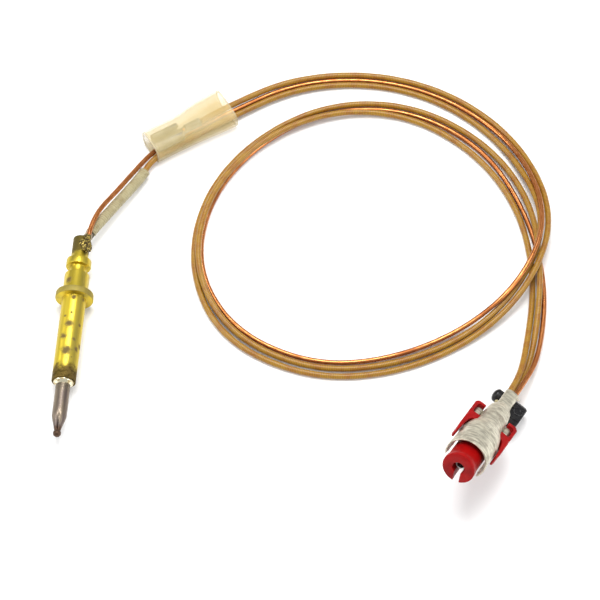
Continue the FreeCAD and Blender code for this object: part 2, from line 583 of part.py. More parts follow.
# each wing: a rear leg, a long outer plate with a notch, and a tapering front fin
BRIDGE_START = WINDOW_START + " + " + PLAY
BRIDGE = "sizes.window_len - 2 * (%s)" % PLAY
LEG_IN = "sizes.cone_dia / 2 + (sizes.waist_dia - sizes.cone_dia) / 5 + " + PLAY
wing_corners = [
    (LEG_IN, "sizes.wing_start"),
    ("sizes.wing_reach - sizes.wing_thick", "sizes.wing_start"),
    ("sizes.wing_reach", "sizes.wing_start + sizes.wing_thick"),
    ("sizes.wing_reach", BRIDGE_START + " + sizes.wing_bridge_len - sizes.wing_thick"),
    ("sizes.wing_reach - sizes.wing_thick / 2", BRIDGE_START + " + sizes.wing_bridge_len"),
    ("sizes.wing_reach", BRIDGE_START + " + sizes.wing_bridge_len + sizes.wing_thick"),
    ("sizes.wing_reach", "sizes.wing_end - sizes.wing_thick"),
    ("sizes.wing_reach - sizes.wing_thick / 2", "sizes.wing_end"),
    ("sizes.wing_reach - sizes.wing_thick", "sizes.wing_end"),
    ("sizes.wing_reach - sizes.wing_thick", "sizes.wing_start + sizes.wing_thick * 1.5"),
    ("sizes.wing_reach - sizes.wing_thick * 1.5", "sizes.wing_start + sizes.wing_thick"),
    (LEG_IN, "sizes.wing_start + sizes.wing_thick")]
wings = []
upright = FreeCAD.Placement(Vector(0, size("wing_height") / 2, 0),
                            FreeCAD.Rotation(Vector(1, 0, 0), 90))
for side, turn in (("right", 0), ("left", 180)):
    around = FreeCAD.Placement(Vector(), FreeCAD.Rotation(Vector(0, 0, 1), turn))
    wings.append(extrusion("wing_" + side, wing_corners, "sizes.wing_height",
                           around * upright))
bridge = block("wing_bridge", "2 * sizes.wing_reach - sizes.wing_thick",
               "sizes.window_height - 2 * (%s)" % PLAY, BRIDGE,
               x="-sizes.wing_reach + sizes.wing_thick / 2",
               y="-sizes.window_height / 2 + " + PLAY, z=BRIDGE_START)
nose_solid = joined("nose_solid", [core, bridge] + wings)
bore = rod("nose_bore", "sizes.nose_bore_dia / 2", "2 * (%s)" % NOSE_END)
keyway = block("keyway", "sizes.keyway_width", "sizes.nose_lip_dia", "sizes.keyway_len",
               x="cos(sizes.keyway_angle * 1 deg) * sizes.keyway_width / 2",
               y="sin(sizes.keyway_angle * 1 deg) * sizes.keyway_width / 2",
               z=NOSE_END + " - sizes.keyway_len + sizes.edge_break")
keyway.Placement.Rotation = FreeCAD.Rotation(Vector(0, 0, 1), 180 + size("keyway_angle"))
labelled(cut("plug_insulator", nose_solid, joined("nose_openings", [bore, keyway])),
         "plug_insulator", PLUG_PLACE)

# ---------------------------------------------------------------- centre contact
nose_end = sum(size(a) for a in ("neck_len", "cone_len", "waist_len", "shoulder_len",
                                 "barrel_len", "nose_len"))
CONTACT_START = NOSE_END + " - sizes.contact_recess - sizes.contact_len"
contact_start = nose_end - size("contact_recess") - size("contact_len")
CONTACT_WEB = CONTACT_START + " + sizes.tail_in_contact + sizes.edge_break"
labelled(lathe("centre_contact", [
    ("sizes.tail_dia / 2 + sizes.fit_gap", CONTACT_START),
    ("sizes.contact_dia / 2", CONTACT_START),
    ("sizes.contact_dia / 2", CONTACT_START + " + sizes.contact_len - sizes.edge_break"),
    ("sizes.contact_dia / 2 - sizes.edge_break", CONTACT_START + " + sizes.contact_len"),
    ("sizes.contact_bore_dia / 2", CONTACT_START + " + sizes.contact_len"),
    ("sizes.contact_bore_dia / 2", CONTACT_WEB),
    ("sizes.tail_dia / 2 + sizes.fit_gap", CONTACT_WEB)],
    PLUG_PLACE), "centre_contact")
tail_path = rounded_path("live_lead_end", [
    from_plug(LIVE_ASIDE, 0, LIVE_END),
    from_plug(LIVE_ASIDE, 0, LIVE_END + size("tail_straight")),
    from_plug(0, 0, contact_start - size("tail_lead_in")),
    from_plug(0, 0, contact_start + size("tail_in_contact"))])
labelled(tube("live_lead_end", tail_path, "sizes.tail_dia / 2"), "live_lead_end")

# ---------------------------------------------------------------- rear insulator
bar = rod("block_bar", "sizes.block_bar_dia / 2", "sizes.block_width",
          x="sizes.block_shift - sizes.block_width / 2", y="-sizes.block_drop",
          z="-sizes.block_back")
bar.Placement.Rotation = FreeCAD.Rotation(Vector(0, 1, 0), 90)
side_block = block("block_side", "sizes.block_side_width", "sizes.block_bar_dia",
                   "sizes.block_side_len",
                   x="sizes.block_shift + sizes.block_width / 2 - sizes.block_side_width",
                   y="2 * sizes.edge_break - sizes.block_drop - sizes.block_bar_dia / 2",
                   z="-sizes.block_back")
crimp_hole = rod("block_crimp_hole", "sizes.joint_crimp_dia / 2",
                 "sizes.block_lead_depth + sizes.crimp_clearance + sizes.joint_crimp_len",
                 x="sizes.block_lead_x", y="-sizes.block_drop",
                 z="-sizes.block_back - sizes.block_bar_dia / 2")
labelled(cut("rear_insulator", joined("block_solid", [bar, side_block]), crimp_hole),
         "rear_insulator", PLUG_PLACE)
labelled(rod("joint_crimp", "sizes.joint_crimp_dia / 2", "sizes.joint_crimp_len"),
         "joint_crimp",
         PLUG_PLACE * FreeCAD.Placement(
             Vector(*BLOCK_LEAD) + Vector(0, 0, size("crimp_clearance")),
             FreeCAD.Rotation()))

# ---------------------------------------------------------------- checks and files
doc.recompute()
for thing in doc.Objects:
    if "Invalid" in thing.State or "Error" in thing.State:
        raise ValueError("%s failed to build" % thing.Label)
os.makedirs("parts", exist_ok=True)
for node in NODES:
    shape = node.Shape
    if shape.isNull() or not shape.isValid() or shape.Volume <= 0:
        raise ValueError("%s has no valid solid" % node.Label)
    print("%-20s solids %d volume %8.2f" % (node.Label, len(shape.Solids), shape.Volume))
    shape.exportStep("parts/%s.step" % node.Label)
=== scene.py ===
import math

import bpy
import bmesh
import numpy as np
from mathutils import Matrix, Vector, noise


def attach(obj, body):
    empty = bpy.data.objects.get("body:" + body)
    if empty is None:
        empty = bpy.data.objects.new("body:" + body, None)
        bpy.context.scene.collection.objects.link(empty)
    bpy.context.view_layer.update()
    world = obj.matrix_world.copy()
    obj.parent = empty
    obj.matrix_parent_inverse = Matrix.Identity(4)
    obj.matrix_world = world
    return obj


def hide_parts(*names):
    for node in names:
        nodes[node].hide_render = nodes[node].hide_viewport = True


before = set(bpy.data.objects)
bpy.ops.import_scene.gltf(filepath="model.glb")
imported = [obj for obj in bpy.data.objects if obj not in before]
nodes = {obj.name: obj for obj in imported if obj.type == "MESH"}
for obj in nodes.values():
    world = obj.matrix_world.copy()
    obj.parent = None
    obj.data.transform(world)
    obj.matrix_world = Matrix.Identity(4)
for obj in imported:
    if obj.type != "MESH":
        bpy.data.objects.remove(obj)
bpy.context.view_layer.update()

# -------------------- camera, light, floor
# A small object lies on a white sheet under large soft lamps.
# The camera stands well back and looks steeply down on it.
MM = 0.001
LOOKED_AT = Vector((46.93, 14.41, 0.0)) * MM
AZIMUTH, ELEVATION = math.radians(3.98), math.radians(59.0)
CAMERA_BACK = 0.6

towards_camera = Vector((math.sin(AZIMUTH) * math.cos(ELEVATION),
                         -math.cos(AZIMUTH) * math.cos(ELEVATION), math.sin(ELEVATION)))
camera_data = bpy.data.cameras.new("camera")
camera_data.lens, camera_data.sensor_width = 170.9, 36.0
camera_data.clip_start, camera_data.clip_end = 0.01, 20.0
camera = bpy.data.objects.new("camera", camera_data)
camera.location = LOOKED_AT + towards_camera * CAMERA_BACK
camera.rotation_euler = towards_camera.to_track_quat("Z", "Y").to_euler()
bpy.context.scene.collection.objects.link(camera)
bpy.context.scene.camera = camera

for lamp, place, width, power in (("overhead_lamp", (0.05, 0.20, 0.80), 0.45, 6.0),
                                  ("left_lamp", (-0.70, -0.10, 0.50), 0.30, 2.6),
                                  ("right_lamp", (0.75, -0.20, 0.40), 0.25, 1.6)):
    light = bpy.data.lights.new(lamp, "AREA")
    light.shape, light.size, light.energy = "SQUARE", width, power
    lamp_object = bpy.data.objects.new(lamp, light)
    lamp_object.location = place
    lamp_object.rotation_euler = (Vector(place) - LOOKED_AT).to_track_quat("Z", "Y").to_euler()
    bpy.context.scene.collection.objects.link(lamp_object)

world = bpy.data.worlds.new("studio")
world.use_nodes = True
world.node_tree.nodes["Background"].inputs["Color"].default_value = (1.0, 1.0, 1.0, 1.0)
world.node_tree.nodes["Background"].inputs["Strength"].default_value = 0.60
bpy.context.scene.world = world
bpy.context.scene.view_settings.view_transform = "Standard"


def new_material(name, **plain):
    """A material, its tree and its Principled shader with plain values set."""
    material = bpy.data.materials.new(name)
    material.use_nodes = True
    tree = material.node_tree
    shader = tree.nodes["Principled BSDF"]
    for socket, value in plain.items():
        shader.inputs[socket.replace("_", " ")].default_value = value
    return material, tree, shader


floor_mesh = bpy.data.meshes.new("floor")
floor_mesh.from_pydata([(-3, -3, 0), (3, -3, 0), (3, 3, 0), (-3, 3, 0)], [], [(0, 1, 2, 3)])
floor = bpy.data.objects.new("floor", floor_mesh)
floor.location.z = -0.02 * MM
bpy.context.scene.collection.objects.link(floor)
floor_paint, _, _ = new_material("pale_floor", Base_Color=(0.93, 0.93, 0.93, 1.0),
                                 Roughness=0.9)
floor_mesh.materials.append(floor_paint)

# -------------------- leads
# Two leads are copper wire lapped with glass yarn and soaked in amber varnish.
# The third is bare copper. They lie in two loose turns, held by their own stiffness.
BRAID_DIA, COPPER_DIA = 1.3, 1.05
YARN_PITCH, YARN_HEIGHT = 0.36, 0.018
probe_rear = 23.7666
cover_place = (Matrix.Translation((12.05, 49.1, 0.0))
               @ Matrix.Rotation(math.radians(125.0), 4, "Z")
               @ Matrix.Rotation(math.radians(90.0), 4, "X"))
plug_place = (Matrix.Translation((91.9, -8.5, 5.55))
              @ Matrix.Rotation(math.radians(-24.0), 4, "Z")
              @ Matrix.Rotation(math.radians(66.0), 4, "X")
              @ Matrix.Rotation(math.radians(-16.0), 4, "Z"))


def from_plug(aside, above, along):
    return tuple(plug_place @ Vector((aside, above, along)))


SLEEVE_ROUTE = [(2.1, probe_rear + 2.53, 4.05), (7.2, 35.6, 2.6), (10.6, 41.6, 1.75)]
LIVE_ROUTE = [
    (4.43, 30.54, 3.39), *SLEEVE_ROUTE[1:],
    (12.9, 47.3, 1.45), (20.9, 53.2, 1.3), (28.0, 58.6, 1.35), (42.5, 68.3, 0.95),
    (60.4, 70.8, 0.65), (76.9, 65.9, 0.65), (90.4, 54.3, 0.65), (98.3, 36.7, 3.35),
    (93.6, 19.6, 3.3), (82.7, 7.4, 0.65), (66.3, -1.0, 0.65), (49.5, -2.8, 0.7),
    (32.7, 4.6, 0.75), (24.0, 19.6, 2.0), (25.2, 37.6, 1.95), (34.7, 52.8, 1.9),
    (50.4, 62.3, 1.7), (67.6, 62.8, 0.65), (82.9, 53.7, 0.65), (92.6, 39.4, 0.65),
    (96.2, 22.0, 0.65), (94.7, 4.0, 1.3), from_plug(-0.55, 0, -4.0),
    from_plug(-0.55, 0, 7.0)]
COPPER_ROUTE = [
    (1.4, probe_rear - 3.37, 5.9), (1.4, probe_rear + 0.53, 5.9), (2.8, 30.2, 5.5),
    (5.9, 36.0, 4.1), (8.7, 41.6, 2.9), (12.9, 49.5, 1.25), (19.8, 54.5, 1.15),
    (27.2, 59.7, 1.15), (42.1, 69.6, 0.8), (60.5, 72.1, 0.55), (77.5, 67.2, 0.55),
    (91.7, 55.4, 1.2), (98.5, 36.1, 5.0), (93.1, 19.1, 5.05), (81.5, 8.7, 0.85),
    (65.7, 0.5, 0.75), (49.9, -1.3, 0.55), (33.5, 5.7, 0.55), (24.5, 20.5, 0.55),
    (25.8, 38.1, 0.55), (35.1, 53.2, 0.55), (50.2, 63.3, 0.55), (67.9, 64.2, 0.55),
    (84.2, 55.2, 0.55), (93.6, 39.9, 0.55), (98.6, 22.1, 0.55), (97.7, 3.8, 1.3),
    from_plug(0.675, 0, -4.0), from_plug(0.675, 0, 5.0)]
SWITCH_ROUTE = [
    tuple(cover_place @ Vector((0.0, 3.07, 12.55))),
    (27.4, 61.3, 1.9), (41.7, 70.8, 1.0), (60.6, 73.5, 0.65), (78.3, 68.4, 0.65),
    (92.5, 56.3, 0.65), (99.9, 36.9, 3.55), (94.9, 18.8, 3.6), (83.6, 6.3, 0.65),
    (66.9, -2.8, 0.65), (49.2, -4.6, 0.65), (31.2, 3.3, 0.65), (23.0, 19.9, 0.65),
    (24.4, 38.4, 0.65), (34.1, 54.1, 0.65), (49.8, 64.7, 0.65), (68.3, 65.6, 0.65),
    (85.3, 56.2, 0.75), (95.4, 40.5, 1.4), (97.5, 21.3, 2.25), (96.2, 4.2, 0.75),
    (94.0, -2.8, 0.7), from_plug(0.3, -2.6, -1.05)]


def laid_line(name, route, steps):
    """The smooth line that a lead lies along: points down the middle, in metres."""
    curve = bpy.data.curves.new(name + "_route", "CURVE")
    curve.dimensions = "3D"
    curve.resolution_u = steps
    spline = curve.splines.new("NURBS")
    spline.points.add(len(route) - 1)
    for point, place in zip(spline.points, route):
        point.co = (*(Vector(place) * MM), 1.0)
    spline.order_u = 3
    spline.use_endpoint_u = True
    holder = bpy.data.objects.new(name + "_route", curve)
    bare = bpy.data.meshes.new_from_object(holder)
    line = np.array([v.co for v in bare.vertices], float)
    bpy.data.meshes.remove(bare)
    bpy.data.curves.remove(curve)
    return line


def carried_frames(line):
    """Two directions across the line at each point, carried along without twist."""
    ahead = np.gradient(line, axis=0)
    ahead /= np.linalg.norm(ahead, axis=1)[:, None]
    side = np.cross(ahead[0], (0.0, 0.0, 1.0))
    across = np.empty_like(line)
    for i, direction in enumerate(ahead):
        side = side - direction * side.dot(direction)
        side /= np.linalg.norm(side)
        across[i] = side
    return across, np.cross(ahead, across)


def mesh_object(name, points, faces, body, material, sharp=40.0):
    """A piece from points in millimetres in the row frame, smooth but for sharp edges."""
    mesh = bpy.data.meshes.new(name)
    mesh.from_pydata([tuple(Vector(p) * MM) for p in points], [], faces)
    made = bpy.data.objects.new(name, mesh)
    bpy.context.scene.collection.objects.link(made)
    mesh.materials.append(material)
    mesh.shade_smooth()
    mesh.set_sharp_from_angle(angle=math.radians(sharp))
    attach(made, body)
    return made


def wrapped_faces(rings, sides, closed=True, capped=False):
    """Quads between rings of points; closed rings join up, capped ones get two ends."""
    across = sides if closed else sides - 1
    faces = [(r * sides + k, r * sides + (k + 1) % sides,
              (r + 1) * sides + (k + 1) % sides, (r + 1) * sides + k)
             for r in range(rings - 1) for k in range(across)]
    if capped:
        faces += [tuple(range(sides))[::-1], tuple(range((rings - 1) * sides, rings * sides))]
    return faces


def round_bar(name, line, radius_at, sides, body, material):
    """A bar along a line; radius_at(along, turn) is in mm, turn from 0 to 1."""
    across, upward = carried_frames(line)
    along = np.concatenate([[0.0], np.cumsum(np.linalg.norm(np.diff(line, axis=0), axis=1))])
    turn = np.arange(sides) / sides
    radius = radius_at(along[:, None] / MM, turn[None, :])
    spin = 2 * math.pi * turn
    points = (line[:, None, :] / MM
              + radius[..., None] * (across[:, None, :] * np.cos(spin)[None, :, None]
                                     + upward[:, None, :] * np.sin(spin)[None, :, None]))
    faces = wrapped_faces(len(line), sides, capped=True)
    made = mesh_object(name, points.reshape(-1, 3), faces, body, material)
    layer = made.data.uv_layers.new(name="lay")
    uv = np.empty((len(made.data.loops), 2))
    corner = np.empty(len(made.data.loops), int)
    made.data.loops.foreach_get("vertex_index", corner)
    uv[:, 0] = along[corner // sides] / MM
    uv[:, 1] = (corner % sides) / sides
    for polygon in made.data.polygons:
        picked = list(polygon.loop_indices)
        if len(picked) == 4 and uv[picked, 1].max() - uv[picked, 1].min() > 0.5:
            uv[picked, 1] = np.where(uv[picked, 1] < 0.25, uv[picked, 1] + 1.0, uv[picked, 1])
    layer.data.foreach_set("uv", uv.ravel())
    return made


def yarn_wrapped(diameter):
    """Radius of a bar lapped with yarn: low ridges running round it at a slight slant."""
    def radius(along, turn):
        ridge = np.abs(np.sin(math.pi * (along / YARN_PITCH - turn)))
        swell = 0.012 * np.sin(along * 0.9 + 2.1 * np.sin(along * 0.13))
        return diameter / 2 - YARN_HEIGHT * (1 - ridge) + swell
    return radius


def drawn_bar(diameter):
    """Radius of drawn wire, with the faint waviness that bending leaves."""
    def radius(along, turn):
        return (diameter / 2 + 0.006 * np.sin(along * 0.7 + 1.3)
                + 0.004 * np.sin(along * 2.3 + 6.3 * turn))
    return radius


def add(tree, kind, settings=None, **inputs):
    """A new node; inputs are numbers, colours or sockets, by name or as _number."""
    made = tree.nodes.new("ShaderNode" + kind)
    for name, value in (settings or {}).items():
        setattr(made, name, value)
    for name, value in inputs.items():
        socket = made.inputs[int(name[1:]) if name[0] == "_" else name.replace("_", " ")]
        if isinstance(value, bpy.types.NodeSocket):
            tree.links.new(value, socket)
        else:
            socket.default_value = value
    return made


def feed(tree, shader, **sockets):
    """Link worked-out colours, masks and normals to the shader's sockets, by name."""
    for name, value in sockets.items():
        tree.links.new(value, shader.inputs[name.replace("_", " ")])


def arithmetic(tree, operation, first, second=0.0):
    return add(tree, "Math", {"operation": operation}, _0=first, _1=second).outputs[0]


def blend_colours(tree, share, first, second, most=1.0):
    """One colour laid over another by a share, which most scales down."""
    if most != 1.0:
        share = arithmetic(tree, "MULTIPLY", share, most)
    first, second = ((*c, 1.0) if isinstance(c, tuple) else c for c in (first, second))
    return add(tree, "Mix", {"data_type": "RGBA"}, _0=share, _6=first, _7=second).outputs[2]


def mapped(tree, value, low, high, to_low=0.0, to_high=1.0):
    """A value taken smoothly from one range to another and held at its ends."""
    return add(tree, "MapRange", {"interpolation_type": "SMOOTHSTEP"}, Value=value,
               From_Min=low, From_Max=high, To_Min=to_low, To_Max=to_high).outputs[0]


def surface_place(tree):
    return add(tree, "TexCoord").outputs["Object"]


def stretched(tree, place, *by):
    """A place scaled along each of its three directions, to draw a pattern out."""
    return add(tree, "VectorMath", {"operation": "MULTIPLY"}, _0=place, _1=by).outputs[0]


def relief(tree, strength, depth, height):
    """The normal of fine relief; its depth is in millimetres."""
    return add(tree, "Bump", Strength=strength, Distance=depth * MM, Height=height).outputs[0]


def node_group(name, takes, gives):
    """A shader node group with named sockets, and its two ends; Place is a vector."""
    group = bpy.data.node_groups.new(name, "ShaderNodeTree")
    for way, sockets in (("INPUT", takes), ("OUTPUT", gives)):
        for socket in sockets.split():
            kind = "NodeSocketVector" if socket == "Place" else "NodeSocketFloat"
            group.interface.new_socket(socket, in_out=way, socket_type=kind)
    return group, group.nodes.new("NodeGroupInput").outputs, group.nodes.new("NodeGroupOutput")


# yarn: stripes round the lead, broken up along each turn, and slow patches of thick varnish; the
# stripes mark the grooves, which get bump and painted shade
yarn_group, yarn_in, yarn_out = node_group("lapped_yarn", "Pitch", "Groove Patch Fleck")
lay = add(yarn_group, "UVMap", {"uv_map": "lay"}).outputs[0]
lay_parts = add(yarn_group, "SeparateXYZ", _0=lay)
spread = stretched(yarn_group, lay, 1.0, 4.0, 1.0)
wander, patches, flecks = (
    add(yarn_group, "TexNoise", Vector=spread, Scale=fineness, Detail=detail).outputs["Fac"]
    for fineness, detail in ((1.1, 2.0), (0.33, 3.0), (3.4, 4.0)))
phase = arithmetic(yarn_group, "SUBTRACT",
                   arithmetic(yarn_group, "DIVIDE", lay_parts.outputs[0],
                              yarn_in["Pitch"]), lay_parts.outputs[1])
phase = arithmetic(yarn_group, "ADD", phase, arithmetic(yarn_group, "MULTIPLY", wander, 0.7))
wave = arithmetic(yarn_group, "ABSOLUTE", arithmetic(
    yarn_group, "SINE", arithmetic(yarn_group, "MULTIPLY", phase, math.pi)))
feed(yarn_group, yarn_out, Groove=mapped(yarn_group, wave, 0.75, 0.05),
     Patch=mapped(yarn_group, patches, 0.44, 0.62),
     Fleck=mapped(yarn_group, flecks, 0.40, 0.68))

amber_yarn, tree, shader = new_material(
    "amber_varnished_yarn", Roughness=0.42, Coat_Weight=0.3, Coat_Roughness=0.22,
    Sheen_Weight=0.2, Sheen_Roughness=0.35, Sheen_Tint=(1.0, 0.80, 0.45, 1.0),
    Specular_IOR_Level=0.35)
yarn = add(tree, "Group", {"node_tree": yarn_group}, Pitch=YARN_PITCH).outputs
colour = blend_colours(tree, yarn["Patch"], (0.35, 0.170, 0.005), (0.29, 0.10, 0.003))
colour = blend_colours(tree, yarn["Fleck"], colour, (0.47, 0.27, 0.025), 0.55)
# painted shade: the yarn is darkened in the grooves between its turns
colour = blend_colours(tree, yarn["Groove"], colour, (0.11, 0.045, 0.003), 0.85)
feed(tree, shader, Base_Color=colour,
     Roughness=mapped(tree, yarn["Fleck"], 0.0, 1.0, 0.36, 0.55),
     Normal=relief(tree, 0.5, 0.02,
                   arithmetic(tree, "SUBTRACT", yarn["Fleck"], yarn["Groove"])))

# mottle: soft uneven patches for nearly every finish, with the bare grain for relief
mottle_group, mottle_in, mottle_out = node_group(
    "mottle", "Place Fineness Detail Ruggedness Low High", "Mask Grain")
grain = add(mottle_group, "TexNoise", Vector=mottle_in["Place"], Scale=mottle_in["Fineness"],
            Detail=mottle_in["Detail"], Roughness=mottle_in["Ruggedness"]).outputs["Fac"]
feed(mottle_group, mottle_out, Grain=grain,
     Mask=mapped(mottle_group, grain, mottle_in["Low"], mottle_in["High"]))


def mottled(tree, place, fineness, detail, low=0.35, high=0.7, ruggedness=0.5):
    """The mask and the bare grain of soft patches at a place."""
    made = add(tree, "Group", {"node_tree": mottle_group}, Place=place, Fineness=fineness,
               Detail=detail, Ruggedness=ruggedness, Low=low, High=high)
    return made.outputs["Mask"], made.outputs["Grain"]


# copper: drawn metal with long pale streaks and browner, duller lengths
drawn_copper, tree, shader = new_material("drawn_copper", Metallic=1.0, Roughness=0.3)
lay = add(tree, "UVMap", {"uv_map": "lay"}).outputs[0]
streak_mask, streaks = mottled(tree, stretched(tree, lay, 0.25, 6.0, 1.0), 3.0, 5.0)
dull_mask, dull = mottled(tree, surface_place(tree), 120.0, 3.0, 0.5, 0.72)
colour = blend_colours(tree, streak_mask, (0.42, 0.135, 0.035), (0.62, 0.26, 0.095))
feed(tree, shader, Base_Color=blend_colours(tree, dull_mask, colour, (0.33, 0.11, 0.035)),
     Roughness=mapped(tree, dull, 0.4, 0.75, 0.24, 0.5),
     Normal=relief(tree, 0.25, 0.01, streaks))

LEAD_STEPS, COPPER_STEPS, LEAD_SIDES = 150, 50, 14
live_line = laid_line("live_lead", LIVE_ROUTE, LEAD_STEPS)
live_lead = round_bar("live_yarn_lead", live_line, yarn_wrapped(BRAID_DIA), LEAD_SIDES,
                      "root", amber_yarn)
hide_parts("live_lead")
switch_line = laid_line("switch_lead", SWITCH_ROUTE, LEAD_STEPS)
switch_lead = round_bar("switch_yarn_lead", switch_line, yarn_wrapped(BRAID_DIA), LEAD_SIDES,
                        "root", amber_yarn)
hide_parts("switch_lead")
copper_line = laid_line("return_lead", COPPER_ROUTE, COPPER_STEPS)
copper_lead = round_bar("copper_return_lead", copper_line, drawn_bar(COPPER_DIA), LEAD_SIDES,
                        "root", drawn_copper)
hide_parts("return_lead")

# -------------------- probe body
# A brass body turned from bar: shank, flange, collar, clip groove, rear ring and stub.
# Flame has spotted the shank and browned its last few millimetres.
SEAT_Y, AXIS_Z = 8.7666, 4.0
FLANGE_R, FLANGE_THICK, SHANK_R, SHANK_LEN = 4.0, 1.35, 2.5, 19.8
COLLAR_R, COLLAR_LEN, GROOVE_R, GROOVE_LEN = 2.625, 4.6, 1.75, 1.9
RING_LEN, STUB_R, STUB_LEN, CAVITY_R, CAVITY_LEN = 1.7, 1.8, 5.45, 1.45, 4.2
SHEATH_R, SOCKET_LEN, BORE_R = 1.525, 4.0, 1.0
probe_place = (Matrix.Translation((0.0, SEAT_Y, AXIS_Z))
               @ Matrix.Rotation(math.radians(90.0), 4, "X"))


def eased(corners, cut):
    """A closed outline with each corner replaced by a short three-point round."""
    count, ring = len(corners), []
    for i, corner in enumerate(corners):
        corner = Vector(corner)
        back, on = Vector(corners[i - 1]) - corner, Vector(corners[(i + 1) % count]) - corner
        reach = min(cut, 0.4 * back.length, 0.4 * on.length)
        start, end = corner + back.normalized() * reach, corner + on.normalized() * reach
        ring += [start, (start + end + corner * 2) / 4, end]
    return ring


def turned_piece(name, profile, sides, place, body, material, wobble=None, sharp=40.0):
    """A closed profile of (radius, z) turned once round; wobble(radius, z, angle) -> mm."""
    points = []
    for radius, z in profile:
        for k in range(sides):
            angle = 2 * math.pi * k / sides
            grown = radius + (wobble(radius, z, angle) if wobble else 0.0)
            points.append(place @ Vector((grown * math.cos(angle), grown * math.sin(angle), z)))
    faces = [tuple(i % len(points) for i in face)
             for face in wrapped_faces(len(profile) + 1, sides)]
    return mesh_object(name, points, faces, body, material, sharp)


collar_end = -FLANGE_THICK - COLLAR_LEN
groove_end = collar_end - GROOVE_LEN
ring_end = groove_end - RING_LEN
rear = ring_end - STUB_LEN
body_outline = eased([
    (CAVITY_R, rear), (STUB_R, rear), (STUB_R, ring_end), (COLLAR_R, ring_end),
    (COLLAR_R, groove_end), (GROOVE_R, groove_end), (GROOVE_R, collar_end),
    (COLLAR_R, collar_end), (COLLAR_R, -FLANGE_THICK), (FLANGE_R, -FLANGE_THICK),
    (FLANGE_R, 0.0), (SHANK_R, 0.0), (SHANK_R, SHANK_LEN), (SHEATH_R, SHANK_LEN),
    (SHEATH_R, SHANK_LEN - SOCKET_LEN), (BORE_R, SHANK_LEN - SOCKET_LEN),
    (BORE_R, rear + CAVITY_LEN), (CAVITY_R, rear + CAVITY_LEN)], 0.16)

# spots: dark rings and blots round given places, each (x, y, z, radius) in millimetres
STAINS = [(-0.01, 1.64, 6.5, 0.95), (-0.97, -1.3, 6.3, 0.75), (-0.06, -4.67, 6.5, 1.15),
          (1.27, -1.93, 6.15, 0.45), (1.92, -4.01, 5.6, 0.65), (2.02, 1.86, 5.47, 0.4),
          (-1.15, 3.49, 6.22, 0.3), (0.15, 4.3, 6.5, 0.28), (2.43, -2.87, 4.6, 0.6),
          (0.19, 8.03, 6.49, 0.55), (2.26, 8.08, 5.47, 0.5), (-1.36, 12.18, 6.25, 0.85),
          (-2.2, 5.0, 2.9, 0.8), (-0.8, 0.2, 1.6, 1.0), (1.4, -6.5, 1.9, 0.9)]

tarnished_brass, tree, shader = new_material("tarnished_brass", Metallic=1.0, Roughness=0.38)
place = surface_place(tree)
burn_mask, ragged = mottled(tree, place, 1500.0, 5.0, 0.42, 0.60, 0.65)
blots = None
for x, y, z, radius in STAINS:
    away = add(tree, "VectorMath", {"operation": "DISTANCE"}, _0=place,
               _1=(x * MM, y * MM, z * MM)).outputs["Value"]
    away = arithmetic(tree, "ADD", away, arithmetic(
        tree, "MULTIPLY", arithmetic(tree, "SUBTRACT", ragged, 0.5), 1.7 * radius * MM))
    blot = mapped(tree, away, 1.45 * radius * MM, 0.25 * radius * MM)
    blots = blot if blots is None else arithmetic(tree, "MAXIMUM", blots, blot)
specks = add(tree, "TexVoronoi", Vector=place, Scale=900.0).outputs["Distance"]
cluster_mask, _ = mottled(tree, place, 260.0, 2.0, 0.56, 0.68)
specks_here = arithmetic(tree, "MULTIPLY", mapped(tree, specks, 0.24, 0.10), cluster_mask)
dirt = arithmetic(tree, "MAXIMUM", blots, arithmetic(tree, "MULTIPLY", specks_here, 0.8))
across, along, up = add(tree, "SeparateXYZ", _0=place).outputs
_, ragged_wide = mottled(tree, place, 700.0, 6.0, ruggedness=0.7)
along_ragged = arithmetic(tree, "ADD", along, arithmetic(
    tree, "MULTIPLY", arithmetic(tree, "SUBTRACT", ragged_wide, 0.5), 4.5 * MM))
near_flame = mapped(tree, along_ragged, (SEAT_Y - SHANK_LEN + 4.0) * MM,
                    (SEAT_Y - SHANK_LEN + 2.0) * MM)
at_stub = mapped(tree, along_ragged, (SEAT_Y - ring_end + 0.3) * MM,
                 (SEAT_Y - ring_end + 2.3) * MM)
_, tool_lines = mottled(tree, stretched(tree, place, 0.12, 1.0, 0.12), 5200.0, 3.0)
hue_mask, _ = mottled(tree, stretched(tree, place, 1.0, 0.08, 1.0), 420.0, 3.0, 0.35, 0.68)
from_axis = add(tree, "CombineXYZ", X=across,
                Z=arithmetic(tree, "SUBTRACT", up, AXIS_Z * MM)).outputs[0]
on_rim = mapped(tree, add(tree, "VectorMath", {"operation": "LENGTH"},
                          _0=from_axis).outputs["Value"],
                (FLANGE_R - 0.16) * MM, (FLANGE_R - 0.06) * MM)
burnt = blend_colours(tree, burn_mask, (0.13, 0.085, 0.03), (0.05, 0.03, 0.012))
colour = blend_colours(tree, hue_mask, (0.66, 0.50, 0.045), (0.42, 0.335, 0.06))
for share, stain, most in ((on_rim, (0.30, 0.25, 0.09), 0.7), (at_stub, (0.12, 0.09, 0.03), 0.9),
                           (near_flame, burnt, 0.92), (dirt, (0.10, 0.06, 0.018), 0.9)):
    colour = blend_colours(tree, share, colour, stain, most)
soiled = arithmetic(tree, "MAXIMUM", dirt, arithmetic(tree, "MAXIMUM", near_flame, at_stub))
soiled = arithmetic(tree, "MAXIMUM", soiled, on_rim)
feed(tree, shader, Base_Color=colour, Roughness=mapped(tree, soiled, 0.0, 1.0, 0.38, 0.66),
     Metallic=mapped(tree, dirt, 0.0, 1.0, 1.0, 0.35),
     Normal=relief(tree, 0.35, 0.012, arithmetic(
         tree, "ADD", tool_lines, arithmetic(tree, "MULTIPLY", soiled, ragged))))


